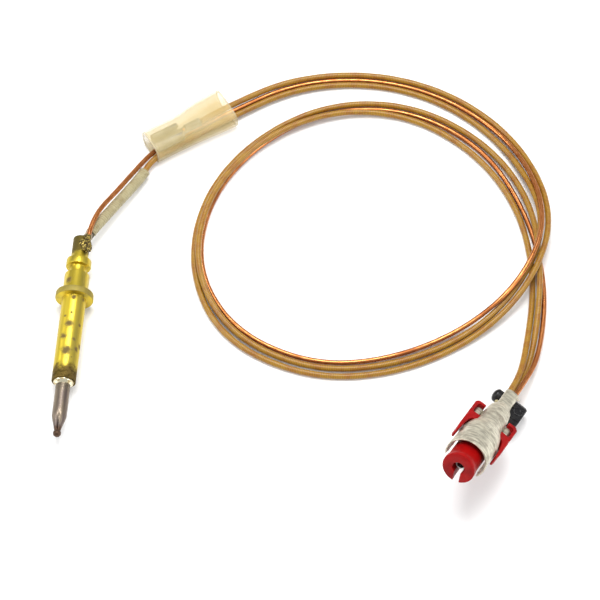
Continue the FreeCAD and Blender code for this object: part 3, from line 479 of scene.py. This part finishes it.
def worn_brass(radius, z, angle):
    """Small knocks on the flange's rim and the collars, and slight waves elsewhere."""
    knock = noise.noise(Vector((math.cos(angle) * 3, math.sin(angle) * 3, z * 1.4)))
    return (0.045 if radius > STUB_R + 0.5 else 0.02) * knock * (radius > BORE_R + 0.6)


probe = turned_piece("brass_probe_body", body_outline, 128, probe_place, "root",
                     tarnished_brass, worn_brass)
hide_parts("probe_body")

# -------------------- hot tip
# A heat-proof alloy tube is brazed into the shank and pressed to a fluted taper.
# Its end carries the welded bead where the two thermocouple metals meet.
SHEATH_STRAIGHT, TAPER_LEN, TIP_R, TIP_BORE_R, TUBE_BORE_R = 7.9, 3.5, 0.65, 0.45, 1.1
FLUTES, FLUTE_DEPTH = 3, 0.30
taper_start = SHANK_LEN + SHEATH_STRAIGHT
sheath_end = taper_start + TAPER_LEN

scorched_alloy, tree, shader = new_material("scorched_alloy", Metallic=0.9, Roughness=0.42)
place = surface_place(tree)
along = add(tree, "SeparateXYZ", _0=place).outputs[1]
cloud_mask, _ = mottled(tree, stretched(tree, place, 1.0, 0.12, 1.0), 900.0, 4.0, 0.35, 0.65)
grit_mask, grit = mottled(tree, place, 3600.0, 4.0, 0.42, 0.6)
by_braze = mapped(tree, along, (SEAT_Y - SHANK_LEN - 3.2) * MM,
                  (SEAT_Y - SHANK_LEN - 0.8) * MM)
by_bead = mapped(tree, along, (SEAT_Y - sheath_end + 1.4) * MM,
                 (SEAT_Y - sheath_end + 0.3) * MM)
sooty = blend_colours(tree, grit_mask, (0.24, 0.20, 0.13), (0.06, 0.05, 0.04))
colour = blend_colours(tree, cloud_mask, (0.25, 0.20, 0.145), (0.14, 0.11, 0.10))
colour = blend_colours(tree, by_braze, colour, sooty, 0.7)
colour = blend_colours(tree, by_bead, colour, (0.085, 0.045, 0.025), 0.85)
feed(tree, shader, Base_Color=colour, Roughness=mapped(tree, grit, 0.35, 0.7, 0.34, 0.55),
     Normal=relief(tree, 0.3, 0.01, grit))


def fluted(radius, z, angle):
    """Three rounded flutes that deepen down the taper, one of them on top."""
    down = min(max((z - taper_start + 0.6) / (TAPER_LEN * 0.55), 0.0), 1.0)
    fade = min(max((sheath_end - z) / 0.5, 0.0), 1.0)
    groove = max(math.cos(FLUTES * (angle - math.pi / 2)), 0.0) ** 6
    return -FLUTE_DEPTH * down * fade * groove * (radius > TIP_BORE_R + 0.1)


down_taper = [(SHEATH_R - (SHEATH_R - TIP_R) * (t * t * (3 - 2 * t) * 0.45 + t * 0.55),
               taper_start + TAPER_LEN * t) for t in (i / 24 for i in range(1, 25))]
sheath_profile = ([(TUBE_BORE_R, SHANK_LEN - SOCKET_LEN), (SHEATH_R, SHANK_LEN - SOCKET_LEN)]
                  + [(SHEATH_R, SHANK_LEN + SHEATH_STRAIGHT * i / 12) for i in range(13)]
                  + down_taper
                  + [(TIP_BORE_R, sheath_end), (TIP_BORE_R, sheath_end - 1.0),
                     (TUBE_BORE_R, taper_start - 1.3)])
sheath = turned_piece("fluted_sheath", sheath_profile, 96, probe_place, "root",
                      scorched_alloy, fluted)
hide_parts("junction_sheath")


def lumpy_ball(name, middle, radii, lump, fineness, body, material, seed):
    """A ball of the given half-sizes with smooth lumps, in millimetres."""
    shape = bmesh.new()
    bmesh.ops.create_icosphere(shape, subdivisions=fineness, radius=1.0)
    points = []
    for vertex in shape.verts:
        way = vertex.co.normalized()
        push = 1.0 + lump * (noise.noise(way * 2.1 + Vector((seed, 0, 0)))
                             + 0.5 * noise.noise(way * 5.3 + Vector((0, seed, 0))))
        points.append(Vector(middle) + Vector((way.x * radii[0], way.y * radii[1],
                                               way.z * radii[2])) * push)
    faces = [tuple(v.index for v in face.verts) for face in shape.faces]
    shape.free()
    return mesh_object(name, points, faces, body, material)


BEAD_R, BEAD_BEYOND = 0.825, 0.508
bead_middle = probe_place @ Vector((0, 0, sheath_end + BEAD_BEYOND))
bead = lumpy_ball("weld_bead", bead_middle, (BEAD_R, BEAD_R * 0.98, BEAD_R), 0.035, 5,
                  "root", scorched_alloy, 3.0)
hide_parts("junction_bead")


def mottled_finish(name, grain, colours, bump, dulling=None, **plain):
    """A finish in two mottled colours; its grain also gives the relief and the dulling."""
    material, tree, shader = new_material(name, **plain)
    mask, bare = mottled(tree, surface_place(tree), *grain)
    feed(tree, shader, Base_Color=blend_colours(tree, mask, *colours),
         Normal=relief(tree, *bump, bare))
    if dulling:
        feed(tree, shader, Roughness=mapped(tree, bare, *dulling))
    return material


silver_braze = mottled_finish(
    "silver_braze", (1300.0, 4.0, 0.42, 0.66), ((0.90, 0.84, 0.62), (0.50, 0.38, 0.18)),
    (0.4, 0.02), (0.4, 0.7, 0.2, 0.5), Metallic=1.0, Roughness=0.3)


def run_braze(radius, z, angle):
    return 0.07 * noise.noise(Vector((math.cos(angle) * 2.2, math.sin(angle) * 2.2, 5.0)))


braze_profile = [(SHEATH_R - 0.02, SHANK_LEN - 0.02), (2.1, SHANK_LEN - 0.02),
                 (2.12, SHANK_LEN + 0.12), (2.0, SHANK_LEN + 0.3), (1.8, SHANK_LEN + 0.5),
                 (1.63, SHANK_LEN + 0.66), (SHEATH_R - 0.02, SHANK_LEN + 0.75)]
braze = turned_piece("braze_fillet", braze_profile, 96, probe_place, "root", silver_braze,
                     run_braze, 80.0)
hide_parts("braze_ring")

# -------------------- element
# The inner thermocouple wire runs down the probe in a ceramic tube and leaves through
# a small bead at the rear. A crimped splice joins it to the live lead inside the sleeve.
sooty_ceramic = mottled_finish(
    "sooty_ceramic", (1100.0, 5.0, 0.56, 0.42), ((0.42, 0.36, 0.26), (0.035, 0.028, 0.018)),
    (0.5, 0.03), Roughness=0.6)
tinned_metal = mottled_finish(
    "tinned_metal", (900.0, 4.0), ((0.62, 0.62, 0.60), (0.34, 0.33, 0.31)), (0.3, 0.02),
    (0.3, 0.7, 0.28, 0.5), Metallic=1.0, Roughness=0.38)

element_alloy, tree, shader = new_material("element_alloy", Metallic=1.0, Roughness=0.35)
_, oxide = mottled(tree, surface_place(tree), 1600.0, 3.0)
feed(tree, shader, Normal=relief(tree, 0.2, 0.01, oxide),
     Base_Color=blend_colours(tree, oxide, (0.55, 0.52, 0.47), (0.26, 0.23, 0.20)))


def dress(node, material):
    """Give a CAD piece whose shape is right its finished material."""
    nodes[node].data.materials.clear()
    nodes[node].data.materials.append(material)


dress("element_insulator", sooty_ceramic)
dress("element_wire", element_alloy)
dress("element_splice", tinned_metal)

BEAD_LEN, BEAD_OUT, BEAD_BORE, BEAD_START = 1.3, 1.0, 0.45, 0.35
exit_point = Vector((0.95, probe_rear + 0.15, AXIS_Z))
bead_way = (Vector(SLEEVE_ROUTE[0]) - exit_point).normalized()
bead_place = (Matrix.Translation(exit_point + bead_way * BEAD_START)
              @ bead_way.to_track_quat("Z", "Y").to_matrix().to_4x4())
bead_profile = eased([(BEAD_BORE, 0.0), (BEAD_OUT, 0.0), (BEAD_OUT, BEAD_LEN),
                      (BEAD_BORE, BEAD_LEN)], 0.35)
rear_bead = turned_piece(
    "rear_ceramic_bead", bead_profile, 48, bead_place, "root", sooty_ceramic,
    lambda radius, z, angle: 0.03 * noise.noise(Vector((angle, z * 2, 1))), 70.0)
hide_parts("rear_bead")

# -------------------- woven sleeve
# A soft glass-fibre sleeve, once white and now beige, is pushed over the splice.
# Its weave is coarse and its ends are cut square and slightly frayed.
SLEEVE_DIA, SLEEVE_WALL, STRAND_PITCH, STRANDS = 2.3, 0.33, 1.1, 3
SLEEVE_STEPS, SLEEVE_SIDES = 70, 36
sleeve_start = exit_point + bead_way * (BEAD_START + BEAD_LEN + 0.1)
sleeve_end = Vector(SLEEVE_ROUTE[2]).lerp(Vector(LIVE_ROUTE[3]), 0.3)
sleeve_line = laid_line("heat_sleeve", [tuple(sleeve_start), *SLEEVE_ROUTE, tuple(sleeve_end)],
                        SLEEVE_STEPS)

glass_weave, tree, shader = new_material(
    "glass_fibre_weave", Roughness=0.75, Sheen_Weight=0.4, Sheen_Roughness=0.5,
    Sheen_Tint=(1.0, 0.95, 0.8, 1.0))
yarn = add(tree, "Group", {"node_tree": yarn_group}, Pitch=0.5).outputs
colour = blend_colours(tree, yarn["Patch"], (0.40, 0.35, 0.185), (0.28, 0.225, 0.10))
# painted shade: the sleeve's weave is darkened in its grooves
colour = blend_colours(tree, yarn["Groove"], colour, (0.15, 0.11, 0.05), 0.8)
colour = blend_colours(tree, yarn["Fleck"], colour, (0.55, 0.50, 0.33), 0.4)
feed(tree, shader, Base_Color=colour,
     Normal=relief(tree, 0.7, 0.04,
                   arithmetic(tree, "SUBTRACT", yarn["Fleck"], yarn["Groove"])))


def woven(along, turn):
    """Radius of the sleeve, with two crossing sets of strands standing up from it."""
    first, second = (np.sin(2 * math.pi * (along / STRAND_PITCH + way * STRANDS * turn))
                     for way in (1, -1))
    return SLEEVE_DIA / 2 - 0.05 + 0.045 * np.maximum(first, second)


sleeve = round_bar("glass_fibre_sleeve", sleeve_line, woven, SLEEVE_SIDES, "root",
                   glass_weave)
opened = bmesh.new()
opened.from_mesh(sleeve.data)
bmesh.ops.delete(opened, geom=[f for f in opened.faces if len(f.verts) > 4], context="FACES")
opened.to_mesh(sleeve.data)
opened.free()
wall = sleeve.modifiers.new("wall", "SOLIDIFY")
wall.thickness, wall.offset = SLEEVE_WALL * MM, -1.0
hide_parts("heat_sleeve")

# -------------------- return braze
# The copper lead is brazed along the stub in a rough crust of filler and flux.
# The crust is part bright brass colour and part burnt black.
burnt_filler = mottled_finish(
    "burnt_filler", (1900.0, 6.0, 0.47, 0.60, 0.7), ((0.07, 0.05, 0.02), (0.55, 0.42, 0.10)),
    (0.9, 0.08), (0.4, 0.6, 0.75, 0.35), Metallic=0.85, Roughness=0.5)

# each lump of crust: its middle and its half-sizes
crust_lumps = [(1.30, 20.6, 5.78, 0.82, 0.95, 0.86), (1.45, 21.9, 5.80, 0.82, 0.98, 0.90),
               (1.38, 23.1, 5.95, 0.78, 0.80, 0.78), (0.45, 21.8, 5.70, 0.70, 1.0, 0.38),
               (2.00, 21.2, 4.95, 0.45, 0.9, 0.6)]
for number, (x, y, z, *half) in enumerate(crust_lumps, 1):
    lump = lumpy_ball("braze_crust_%d" % number, (x, y, z), half, 0.22, 4, "root",
                      burnt_filler, 7.0 * number)
    if number == 1:
        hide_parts("return_braze")

# -------------------- push-on terminal
# A receptacle pressed from tinned sheet: two sides rolled over to grip a flat tab.
# It is crimped on the end of the switch lead and hidden in the milky cover.
TERMINAL_W, TERMINAL_H, TERMINAL_LEN, SHEET = 3.7, 2.1, 6.4, 0.35
FLOOR_Z, INSET, LIP = 2.12, 1.1, 1.1
half = TERMINAL_W / 2
high = FLOOR_Z + TERMINAL_H
bent_sheet = [(-half + LIP, high - SHEET * 1.5), (-half + LIP * 0.7, high),
              (-half + 0.45, high), (-half, high - 0.5), (-half, FLOOR_Z + 0.4),
              (-half + 0.35, FLOOR_Z), (half - 0.35, FLOOR_Z), (half, FLOOR_Z + 0.4),
              (half, high - 0.5), (half - 0.45, high), (half - LIP * 0.7, high),
              (half - LIP, high - SHEET * 1.5)]
terminal_points, stations = [], 9
for i in range(stations):
    along = INSET + TERMINAL_LEN * i / (stations - 1)
    squeeze = 1.0 - 0.04 * math.exp(-((along - INSET - 3.2) / 0.9) ** 2)
    terminal_points += [cover_place @ Vector((x * squeeze, y, along)) for x, y in bent_sheet]
# painted shade: the tin of the pieces inside the milky cover is made much darker than the same
# tin outside it
tin_in_painted_shade = mottled_finish(
    "tin_in_painted_shade", (500.0, 4.0, 0.35, 0.65), ((0.085, 0.095, 0.10), (0.17, 0.18, 0.18)),
    (0.3, 0.02), Metallic=0.6, Roughness=0.5)
receptacle = mesh_object("push_on_receptacle_sheet", terminal_points,
                         wrapped_faces(stations, len(bent_sheet), False), "root",
                         tin_in_painted_shade, 60.0)
sheet_wall = receptacle.modifiers.new("sheet", "SOLIDIFY")
sheet_wall.thickness, sheet_wall.offset = SHEET * MM, 1.0
receptacle.modifiers.new("rounding", "SUBSURF").levels = 1
receptacle.modifiers["rounding"].render_levels = 1

crimp_points, crimp_sides = [], 28
# along, half-width, half-height, height of the middle
crimp_shape = [(7.2, 1.35, 0.25, FLOOR_Z + 0.3), (7.9, 1.1, 0.3, FLOOR_Z + 0.35),
               (8.5, 0.85, 0.6, 2.75), (8.8, 0.95, 0.92, 3.07), (9.6, 0.95, 0.86, 3.02),
               (10.4, 0.95, 0.95, 3.07), (11.4, 0.95, 0.88, 3.05), (12.1, 0.97, 0.95, 3.07),
               (12.3, 1.0, 0.98, 3.07)]
for along, wide, tall, middle in crimp_shape:
    for k in range(crimp_sides):
        angle = 2 * math.pi * k / crimp_sides
        crimp_points.append(cover_place @ Vector(
            (wide * math.cos(angle), middle + tall * math.sin(angle), along)))
crimp_faces = wrapped_faces(len(crimp_shape), crimp_sides, capped=True)
wire_crimp = mesh_object("wire_crimp", crimp_points, crimp_faces, "root", tin_in_painted_shade)
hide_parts("push_on_receptacle")
dress("switch_lead_end", drawn_copper)

# -------------------- terminal cover
# A soft milky plastic boot slid over the push-on terminal. It can be pushed back along
# its leads. Its mouth has spread, and one long edge bulges outward near it.
COVER_LEN, COVER_WALL, SQUARENESS, CUT = 19.6, 0.42, 3.2, 0.45
COVER_RINGS, COVER_SIDES = 41, 64
COVER_RIBS = np.array([
    # along, half-width at the left and at the right, half-height
    (0.0, 3.55, 3.65, 2.5), (1.2, 3.55, 3.7, 2.5), (4.0, 3.5, 3.75, 2.48),
    (7.5, 3.55, 3.8, 2.45), (9.5, 3.6, 4.05, 2.42), (11.5, 3.7, 4.5, 2.4),
    (13.5, 3.8, 4.85, 2.4), (16.0, 3.95, 5.05, 2.4), (18.4, 4.08, 5.15, 2.4),
    (19.6, 4.1, 5.2, 2.4)])


def cover_section(along, shrink):
    """One ring of the boot: wide, low and round-cornered, standing on zero."""
    left, right, tall = (np.interp(along, COVER_RIBS[:, 0], COVER_RIBS[:, i]) for i in (1, 2, 3))
    ring = []
    for k in range(COVER_SIDES):
        angle = 2 * math.pi * k / COVER_SIDES
        across, upward = math.cos(angle), math.sin(angle)
        wide = (left if across < 0 else right) - shrink
        x = wide * math.copysign(abs(across) ** (2 / SQUARENESS), across)
        y = (tall - shrink) * math.copysign(abs(upward) ** (2 / SQUARENESS), upward)
        ring.append(cover_place @ Vector((x, tall + y, along)))
    return ring


down_cover = np.linspace(0.0, COVER_LEN, COVER_RINGS)
cover_points = [p for along in down_cover for p in cover_section(along, 0.0)]
cover_points += [p for along in down_cover[::-1] for p in cover_section(along, COVER_WALL)]
cover_faces = [tuple(i % len(cover_points) for i in face)
               for face in wrapped_faces(2 * COVER_RINGS + 1, COVER_SIDES)]

milky_plastic, tree, shader = new_material("milky_plastic", Roughness=0.32, IOR=1.48,
                                           Specular_IOR_Level=0.4)
place = surface_place(tree)
haze_mask, haze = mottled(tree, place, 160.0, 3.0, 0.35, 0.65)
_, scuffs = mottled(tree, place, 1400.0, 4.0)
from_start = add(tree, "VectorMath", {"operation": "SUBTRACT"}, _0=place,
                 _1=tuple(cover_place.translation * MM)).outputs[0]
down_boot = add(tree, "VectorMath", {"operation": "DOT_PRODUCT"}, _0=from_start,
                _1=tuple(cover_place.to_3x3() @ Vector((0, 0, 1)))).outputs["Value"]
# painted shade: a darker, more opaque band at each cut end stands in for the outline that the
# boot's ends show
painted_end_shade = arithmetic(tree, "MAXIMUM", mapped(tree, down_boot, CUT * MM, CUT / 3 * MM),
                      mapped(tree, down_boot, (COVER_LEN - CUT) * MM,
                             (COVER_LEN - CUT / 3) * MM))
colour = blend_colours(tree, haze_mask, (0.80, 0.66, 0.33), (0.72, 0.56, 0.24))
cloudy = add(tree, "Math", {"operation": "MULTIPLY_ADD"}, _0=haze, _1=0.12, _2=0.25).outputs[0]
feed(tree, shader, Base_Color=blend_colours(tree, painted_end_shade, colour, (0.40, 0.36, 0.26), 0.6),
     Alpha=arithmetic(tree, "MAXIMUM", cloudy, arithmetic(tree, "MULTIPLY", painted_end_shade, 0.5)),
     Roughness=mapped(tree, scuffs, 0.35, 0.7, 0.25, 0.42),
     Normal=relief(tree, 0.15, 0.1, haze))
cover = mesh_object("milky_terminal_cover", cover_points, cover_faces, "cover",
                    milky_plastic, 50.0)
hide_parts("terminal_cover")

# -------------------- plug shell
# One piece of dull tinned sheet: a neck crimped on the leads, a cone, and a barrel
# rolled into an open C with two side slots. Rolling has left rings and long streaks.
SHELL_WALL, SHELL_LEN = 0.3, 24.6
SHELL_STATIONS = np.array([
    # along, half-width, half-height, half of the gap underneath in degrees
    (0.0, 1.52, 1.00, 3), (1.2, 1.50, 0.98, 3), (3.4, 1.50, 0.97, 3), (4.9, 1.58, 1.05, 3),
    (5.6, 1.85, 1.40, 12), (6.4, 2.30, 1.95, 30), (7.4, 2.50, 2.35, 48),
    (8.4, 2.62, 2.60, 60), (10.5, 2.80, 2.80, 62), (13.2, 3.02, 3.02, 62),
    (14.2, 3.20, 3.20, 62), (15.6, 3.75, 3.75, 62), (17.0, 4.12, 4.12, 62),
    (17.8, 4.22, 4.22, 62), (20.0, 4.27, 4.27, 62), (22.0, 4.33, 4.33, 62),
    (23.6, 4.40, 4.40, 62), (24.6, 4.45, 4.45, 62)])
# rolled rings and grooves: where, how high, how wide
SWAGES = [(18.6, 0.10, 0.28), (21.4, -0.07, 0.22), (23.5, -0.09, 0.2), (9.0, -0.06, 0.3),
          (12.2, -0.05, 0.25)]
SLOT_FROM, SLOT_TO, SLOT_HALF = 11.6, 14.8, 0.95
CORNER_FROM, CORNER_HALF = 13.9, 2.35
EAR_FROM, EAR_LEN, EAR_ROOT, EAR_REACH = 10.3, 2.5, 2.66, 1.62


def shell_ring(along, steps):
    """Points round the shell from one edge of its gap to the other."""
    wide, tall, gap = (np.interp(along, SHELL_STATIONS[:, 0], SHELL_STATIONS[:, i])
                       for i in (1, 2, 3))
    grown = sum(h * math.exp(-((along - at) / w) ** 2) for at, h, w in SWAGES)
    ring = []
    for k in range(steps + 1):
        turn = math.radians(gap + (360 - 2 * gap) * k / steps)
        dent = 0.05 * noise.noise(Vector((math.sin(turn) * 1.6, math.cos(turn) * 1.6,
                                          along * 0.45)))
        square = 1.0 + 0.09 * math.sin(2 * turn) ** 2 * (along < 5.2)
        ring.append(Vector(((wide + grown + dent) * square * math.sin(turn),
                            -(tall + grown + dent) * square * math.cos(turn), along)))
    return ring


shell_steps, shell_rings = 120, 165
shell_along = [SHELL_LEN * i / (shell_rings - 1) for i in range(shell_rings)]
shell_points = [p for along in shell_along for p in shell_ring(along, shell_steps)]
shell_faces = []
for face in wrapped_faces(shell_rings, shell_steps + 1, False):
    middle = sum((shell_points[i] for i in face), Vector()) / 4
    slot_half = CORNER_HALF if middle.z > CORNER_FROM else SLOT_HALF
    if not (SLOT_FROM < middle.z < SLOT_TO and abs(middle.y) < slot_half):
        shell_faces.append(face)
for side in (-1, 1):
    # an ear is sheet bent out of the slot; it leans outward and lies inside the wing
    start = len(shell_points)
    for i in range(9):
        reach = EAR_REACH * (0.75 + 0.25 * min(1.0, (i + 0.6) / 1.6, (8.6 - i) / 1.6))
        for k in range(5):
            lift = 0.5 + 0.45 * math.sin(math.pi * k / 5) - 0.05 * k
            shell_points.append(Vector((side * (EAR_ROOT + reach * k / 4), lift,
                                        EAR_FROM + EAR_LEN * i / 8)))
    shell_faces += [tuple(start + j for j in (face if side < 0 else face[::-1]))
                    for face in wrapped_faces(9, 5, False)]

dull_tin, tree, shader = new_material("dull_tin_sheet", Metallic=0.9, Roughness=0.45)
place = surface_place(tree)
to_plug = plug_place.inverted()
in_plug = add(tree, "Mapping", {"vector_type": "POINT"}, Vector=place,
              Location=to_plug.translation * MM, Rotation=to_plug.to_euler()).outputs[0]
rolled_mask, rolling = mottled(tree, stretched(tree, in_plug, 0.22, 0.22, 1.0), 2600.0, 5.0,
                               0.36, 0.66)
grey_mask, grey = mottled(tree, place, 420.0, 5.0, 0.5, 0.72, 0.65)
colour = blend_colours(tree, rolled_mask, (0.68, 0.645, 0.52), (0.42, 0.39, 0.31))
feed(tree, shader, Base_Color=blend_colours(tree, grey_mask, colour, (0.34, 0.30, 0.24)),
     Roughness=mapped(tree, grey, 0.35, 0.7, 0.36, 0.6),
     Normal=relief(tree, 0.5, 0.025, arithmetic(tree, "ADD", rolling, grey)))

shell = mesh_object("plug_shell_sheet", [plug_place @ p for p in shell_points], shell_faces,
                    "root", dull_tin, 60.0)
shell_sheet = shell.modifiers.new("sheet", "SOLIDIFY")
shell_sheet.thickness, shell_sheet.offset = SHELL_WALL * MM, -1.0
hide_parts("plug_shell")

# -------------------- plug insulator
# Glossy red plastic, moulded in one: a hollow nose with a keyway, a bar through the
# shell's slots, and a springy wing on each side that ends in a thin tapering fin.
NOSE_R, NOSE_LIP_R, NOSE_BORE_R, NOSE_START, NOSE_END = 3.2, 3.4, 1.3, 8.6, 28.4
KEYWAY_W, KEYWAY_LEN, KEYWAY_TURN = 1.35, 8.0, 19.0
WING_HALF = 1.4
CROSS_REACH, CROSS_FROM, CROSS_TO, CROSS_HALF = 4.6, 12.95, 14.6, 0.85

red_plastic, tree, shader = new_material(
    "red_moulded_plastic", Roughness=0.34, IOR=1.45, Specular_IOR_Level=0.16)
place = surface_place(tree)
flow_mask, flow = mottled(tree, place, 300.0, 4.0, 0.35, 0.68)
_, mould_grain = mottled(tree, place, 2600.0, 3.0)
feed(tree, shader, Roughness=mapped(tree, flow, 0.3, 0.7, 0.28, 0.42),
     Base_Color=blend_colours(tree, flow_mask, (0.33, 0.003, 0.003), (0.22, 0.002, 0.003)),
     Normal=relief(tree, 0.15, 0.02, mould_grain))


def finished_by(made, *steps):
    """Apply modifiers, each (kind, settings), and leave the result as the plain mesh."""
    for kind, settings in steps:
        modifier = made.modifiers.new(kind.lower(), kind)
        for name, value in settings.items():
            setattr(modifier, name, value)
    bpy.context.view_layer.update()
    seen = made.evaluated_get(bpy.context.evaluated_depsgraph_get())
    result = bpy.data.meshes.new_from_object(seen)
    made.modifiers.clear()
    made.data = result
    return made


def slab(name, corners, low, high, place, material, cut=0.0):
    """A flat outline of (x, z) made solid between two heights of y in a piece's place."""
    ring = eased(corners, cut) if cut else [Vector(c) for c in corners]
    count = len(ring)
    points = [place @ Vector((p.x, y, p.y)) for y in (low, high) for p in ring]
    faces = [tuple(range(count))[::-1], tuple(range(count, 2 * count))]
    faces += [(k, (k + 1) % count, count + (k + 1) % count, count + k) for k in range(count)]
    made = mesh_object(name, points, faces, "root", material, 35.0)
    tidy = bmesh.new()
    tidy.from_mesh(made.data)
    bmesh.ops.recalc_face_normals(tidy, faces=tidy.faces)
    tidy.to_mesh(made.data)
    tidy.free()
    return made


ROUNDING = {"width": 0.1 * MM, "segments": 3, "limit_method": "ANGLE",
            "angle_limit": math.radians(35.0)}
nose_profile = eased([
    (NOSE_BORE_R, NOSE_START), (2.2, NOSE_START), (2.7, 14.0), (NOSE_R, 17.4),
    (NOSE_R, NOSE_END - 1.1), (NOSE_LIP_R, NOSE_END - 1.1), (NOSE_LIP_R, NOSE_END),
    (NOSE_BORE_R, NOSE_END)], 0.12)
nose = turned_piece("red_nose", nose_profile, 96, plug_place, "root", red_plastic)
key_place = plug_place @ Matrix.Rotation(math.radians(KEYWAY_TURN), 4, "Z")
key_cutter = slab("keyway_cutter", [(-KEYWAY_W / 2, NOSE_END - KEYWAY_LEN),
                                    (KEYWAY_W / 2, NOSE_END - KEYWAY_LEN),
                                    (KEYWAY_W / 2, NOSE_END + 1.0),
                                    (-KEYWAY_W / 2, NOSE_END + 1.0)],
                  -2 * NOSE_R, 0.0, key_place, red_plastic)
finished_by(nose, ("BOOLEAN", {"object": key_cutter, "operation": "DIFFERENCE",
                               "solver": "EXACT"}),
            ("BEVEL", {**ROUNDING, "width": 0.07 * MM}))
bpy.data.objects.remove(key_cutter)
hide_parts("plug_insulator")

WING = [(2.85, 9.2), (4.55, 9.2), (5.15, 9.95), (5.15, 13.85), (4.8, 14.25), (5.15, 14.75),
        (5.15, 19.2), (4.95, 20.1), (4.5, 20.1), (4.4, 18.0), (4.2, 16.4), (3.85, 15.25),
        (3.1, 14.75), (2.2, 14.7), (2.2, 12.95), (3.1, 12.9), (4.3, 13.05), (4.42, 12.7),
        (4.42, 10.5), (4.1, 9.95), (2.85, 9.95)]
for side, mirror in (("right", 1.0), ("left", -1.0)):
    wing = slab("red_wing_" + side, [(mirror * x, z) for x, z in WING], -WING_HALF, WING_HALF,
                plug_place, red_plastic, 0.22)
    finished_by(wing, ("BEVEL", ROUNDING))
bar = slab("red_cross_bar", [(-CROSS_REACH, CROSS_FROM), (CROSS_REACH, CROSS_FROM),
                             (CROSS_REACH, CROSS_TO), (-CROSS_REACH, CROSS_TO)],
           -CROSS_HALF, CROSS_HALF, plug_place, red_plastic)
finished_by(bar, ("BEVEL", ROUNDING))

# -------------------- contact and wire ends
# A tinned tube in the nose takes the centre pin of the valve's socket.
# The live lead's core is brazed into its rear, and the crimp ends the switch lead.
dress("centre_contact", tinned_metal)
dress("joint_crimp", tinned_metal)
dress("live_lead_end", element_alloy)

# -------------------- rear insulator
# A glossy black moulding under the neck: a round-ended bar across the plug, with a
# square block at one end. The switch lead ends in it.
BAR_R, BAR_DROP, BAR_BACK, BAR_LEFT, BAR_RIGHT = 1.45, -2.6, -0.2, -3.3, 4.5
BLOCK_LEFT, BLOCK_LEN, BLOCK_LOW, BLOCK_HIGH = 1.4, 4.8, -3.75, -0.85
black_plastic = mottled_finish(
    "black_moulded_plastic", (700.0, 5.0, 0.5, 0.75),
    ((0.004, 0.004, 0.005), (0.018, 0.017, 0.016)), (0.2, 0.02), (0.35, 0.7, 0.18, 0.4),
    Roughness=0.26, IOR=1.45, Specular_IOR_Level=0.25, Coat_Weight=0.15, Coat_Roughness=0.12)

bar_place = (plug_place @ Matrix.Translation((0.0, BAR_DROP, BAR_BACK))
             @ Matrix.Rotation(math.radians(90.0), 4, "Y"))
dome = [(BAR_R * math.sin(t), BAR_LEFT + 0.9 - 0.9 * math.cos(t))
        for t in (math.pi / 2 * i / 10 for i in range(1, 11))]
bar_profile = ([(0.02, BAR_LEFT)] + dome + [(BAR_R, BAR_RIGHT - 0.5),
                                            (BAR_R - 0.3, BAR_RIGHT), (0.02, BAR_RIGHT)])
black_bar = turned_piece("black_bar", bar_profile, 64, bar_place, "root", black_plastic)
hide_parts("rear_insulator")
black_block = slab("black_block", [(BLOCK_LEFT, BAR_BACK), (BAR_RIGHT, BAR_BACK),
                                   (BAR_RIGHT, BLOCK_LEN), (BLOCK_LEFT, BLOCK_LEN)],
                   BLOCK_LOW, BLOCK_HIGH, plug_place, black_plastic, 0.3)
finished_by(black_block, ("BEVEL", {**ROUNDING, "width": 0.22 * MM}))

boss_place = (plug_place @ Matrix.Translation((3.0, -0.87, 2.2))
              @ Matrix.Rotation(math.radians(-90.0), 4, "X"))
boss_profile = [(0.02, -0.3), (1.12, -0.3), (1.12, 0.02), (1.02, 0.12), (0.88, 0.10),
                (0.78, 0.0), (0.5, -0.06), (0.02, -0.08)]
turned_piece("black_block_boss", boss_profile, 48, boss_place, "root", black_plastic)

# -------------------- neck trimmings
# Crimping the tinned neck leaves a small burr of sheet on one edge.
# On the other side it squeezes out a wisp of the leads' yarn.
lumpy_ball("neck_burr", plug_place @ Vector((1.75, 0.35, 0.55)), (0.34, 0.16, 0.14), 0.25, 3,
           "root", dull_tin, 21.0)
lumpy_ball("neck_yarn_wisp", plug_place @ Vector((-1.7, -0.55, 3.9)), (0.42, 0.30, 0.34), 0.35,
           4, "root", glass_weave, 33.0)
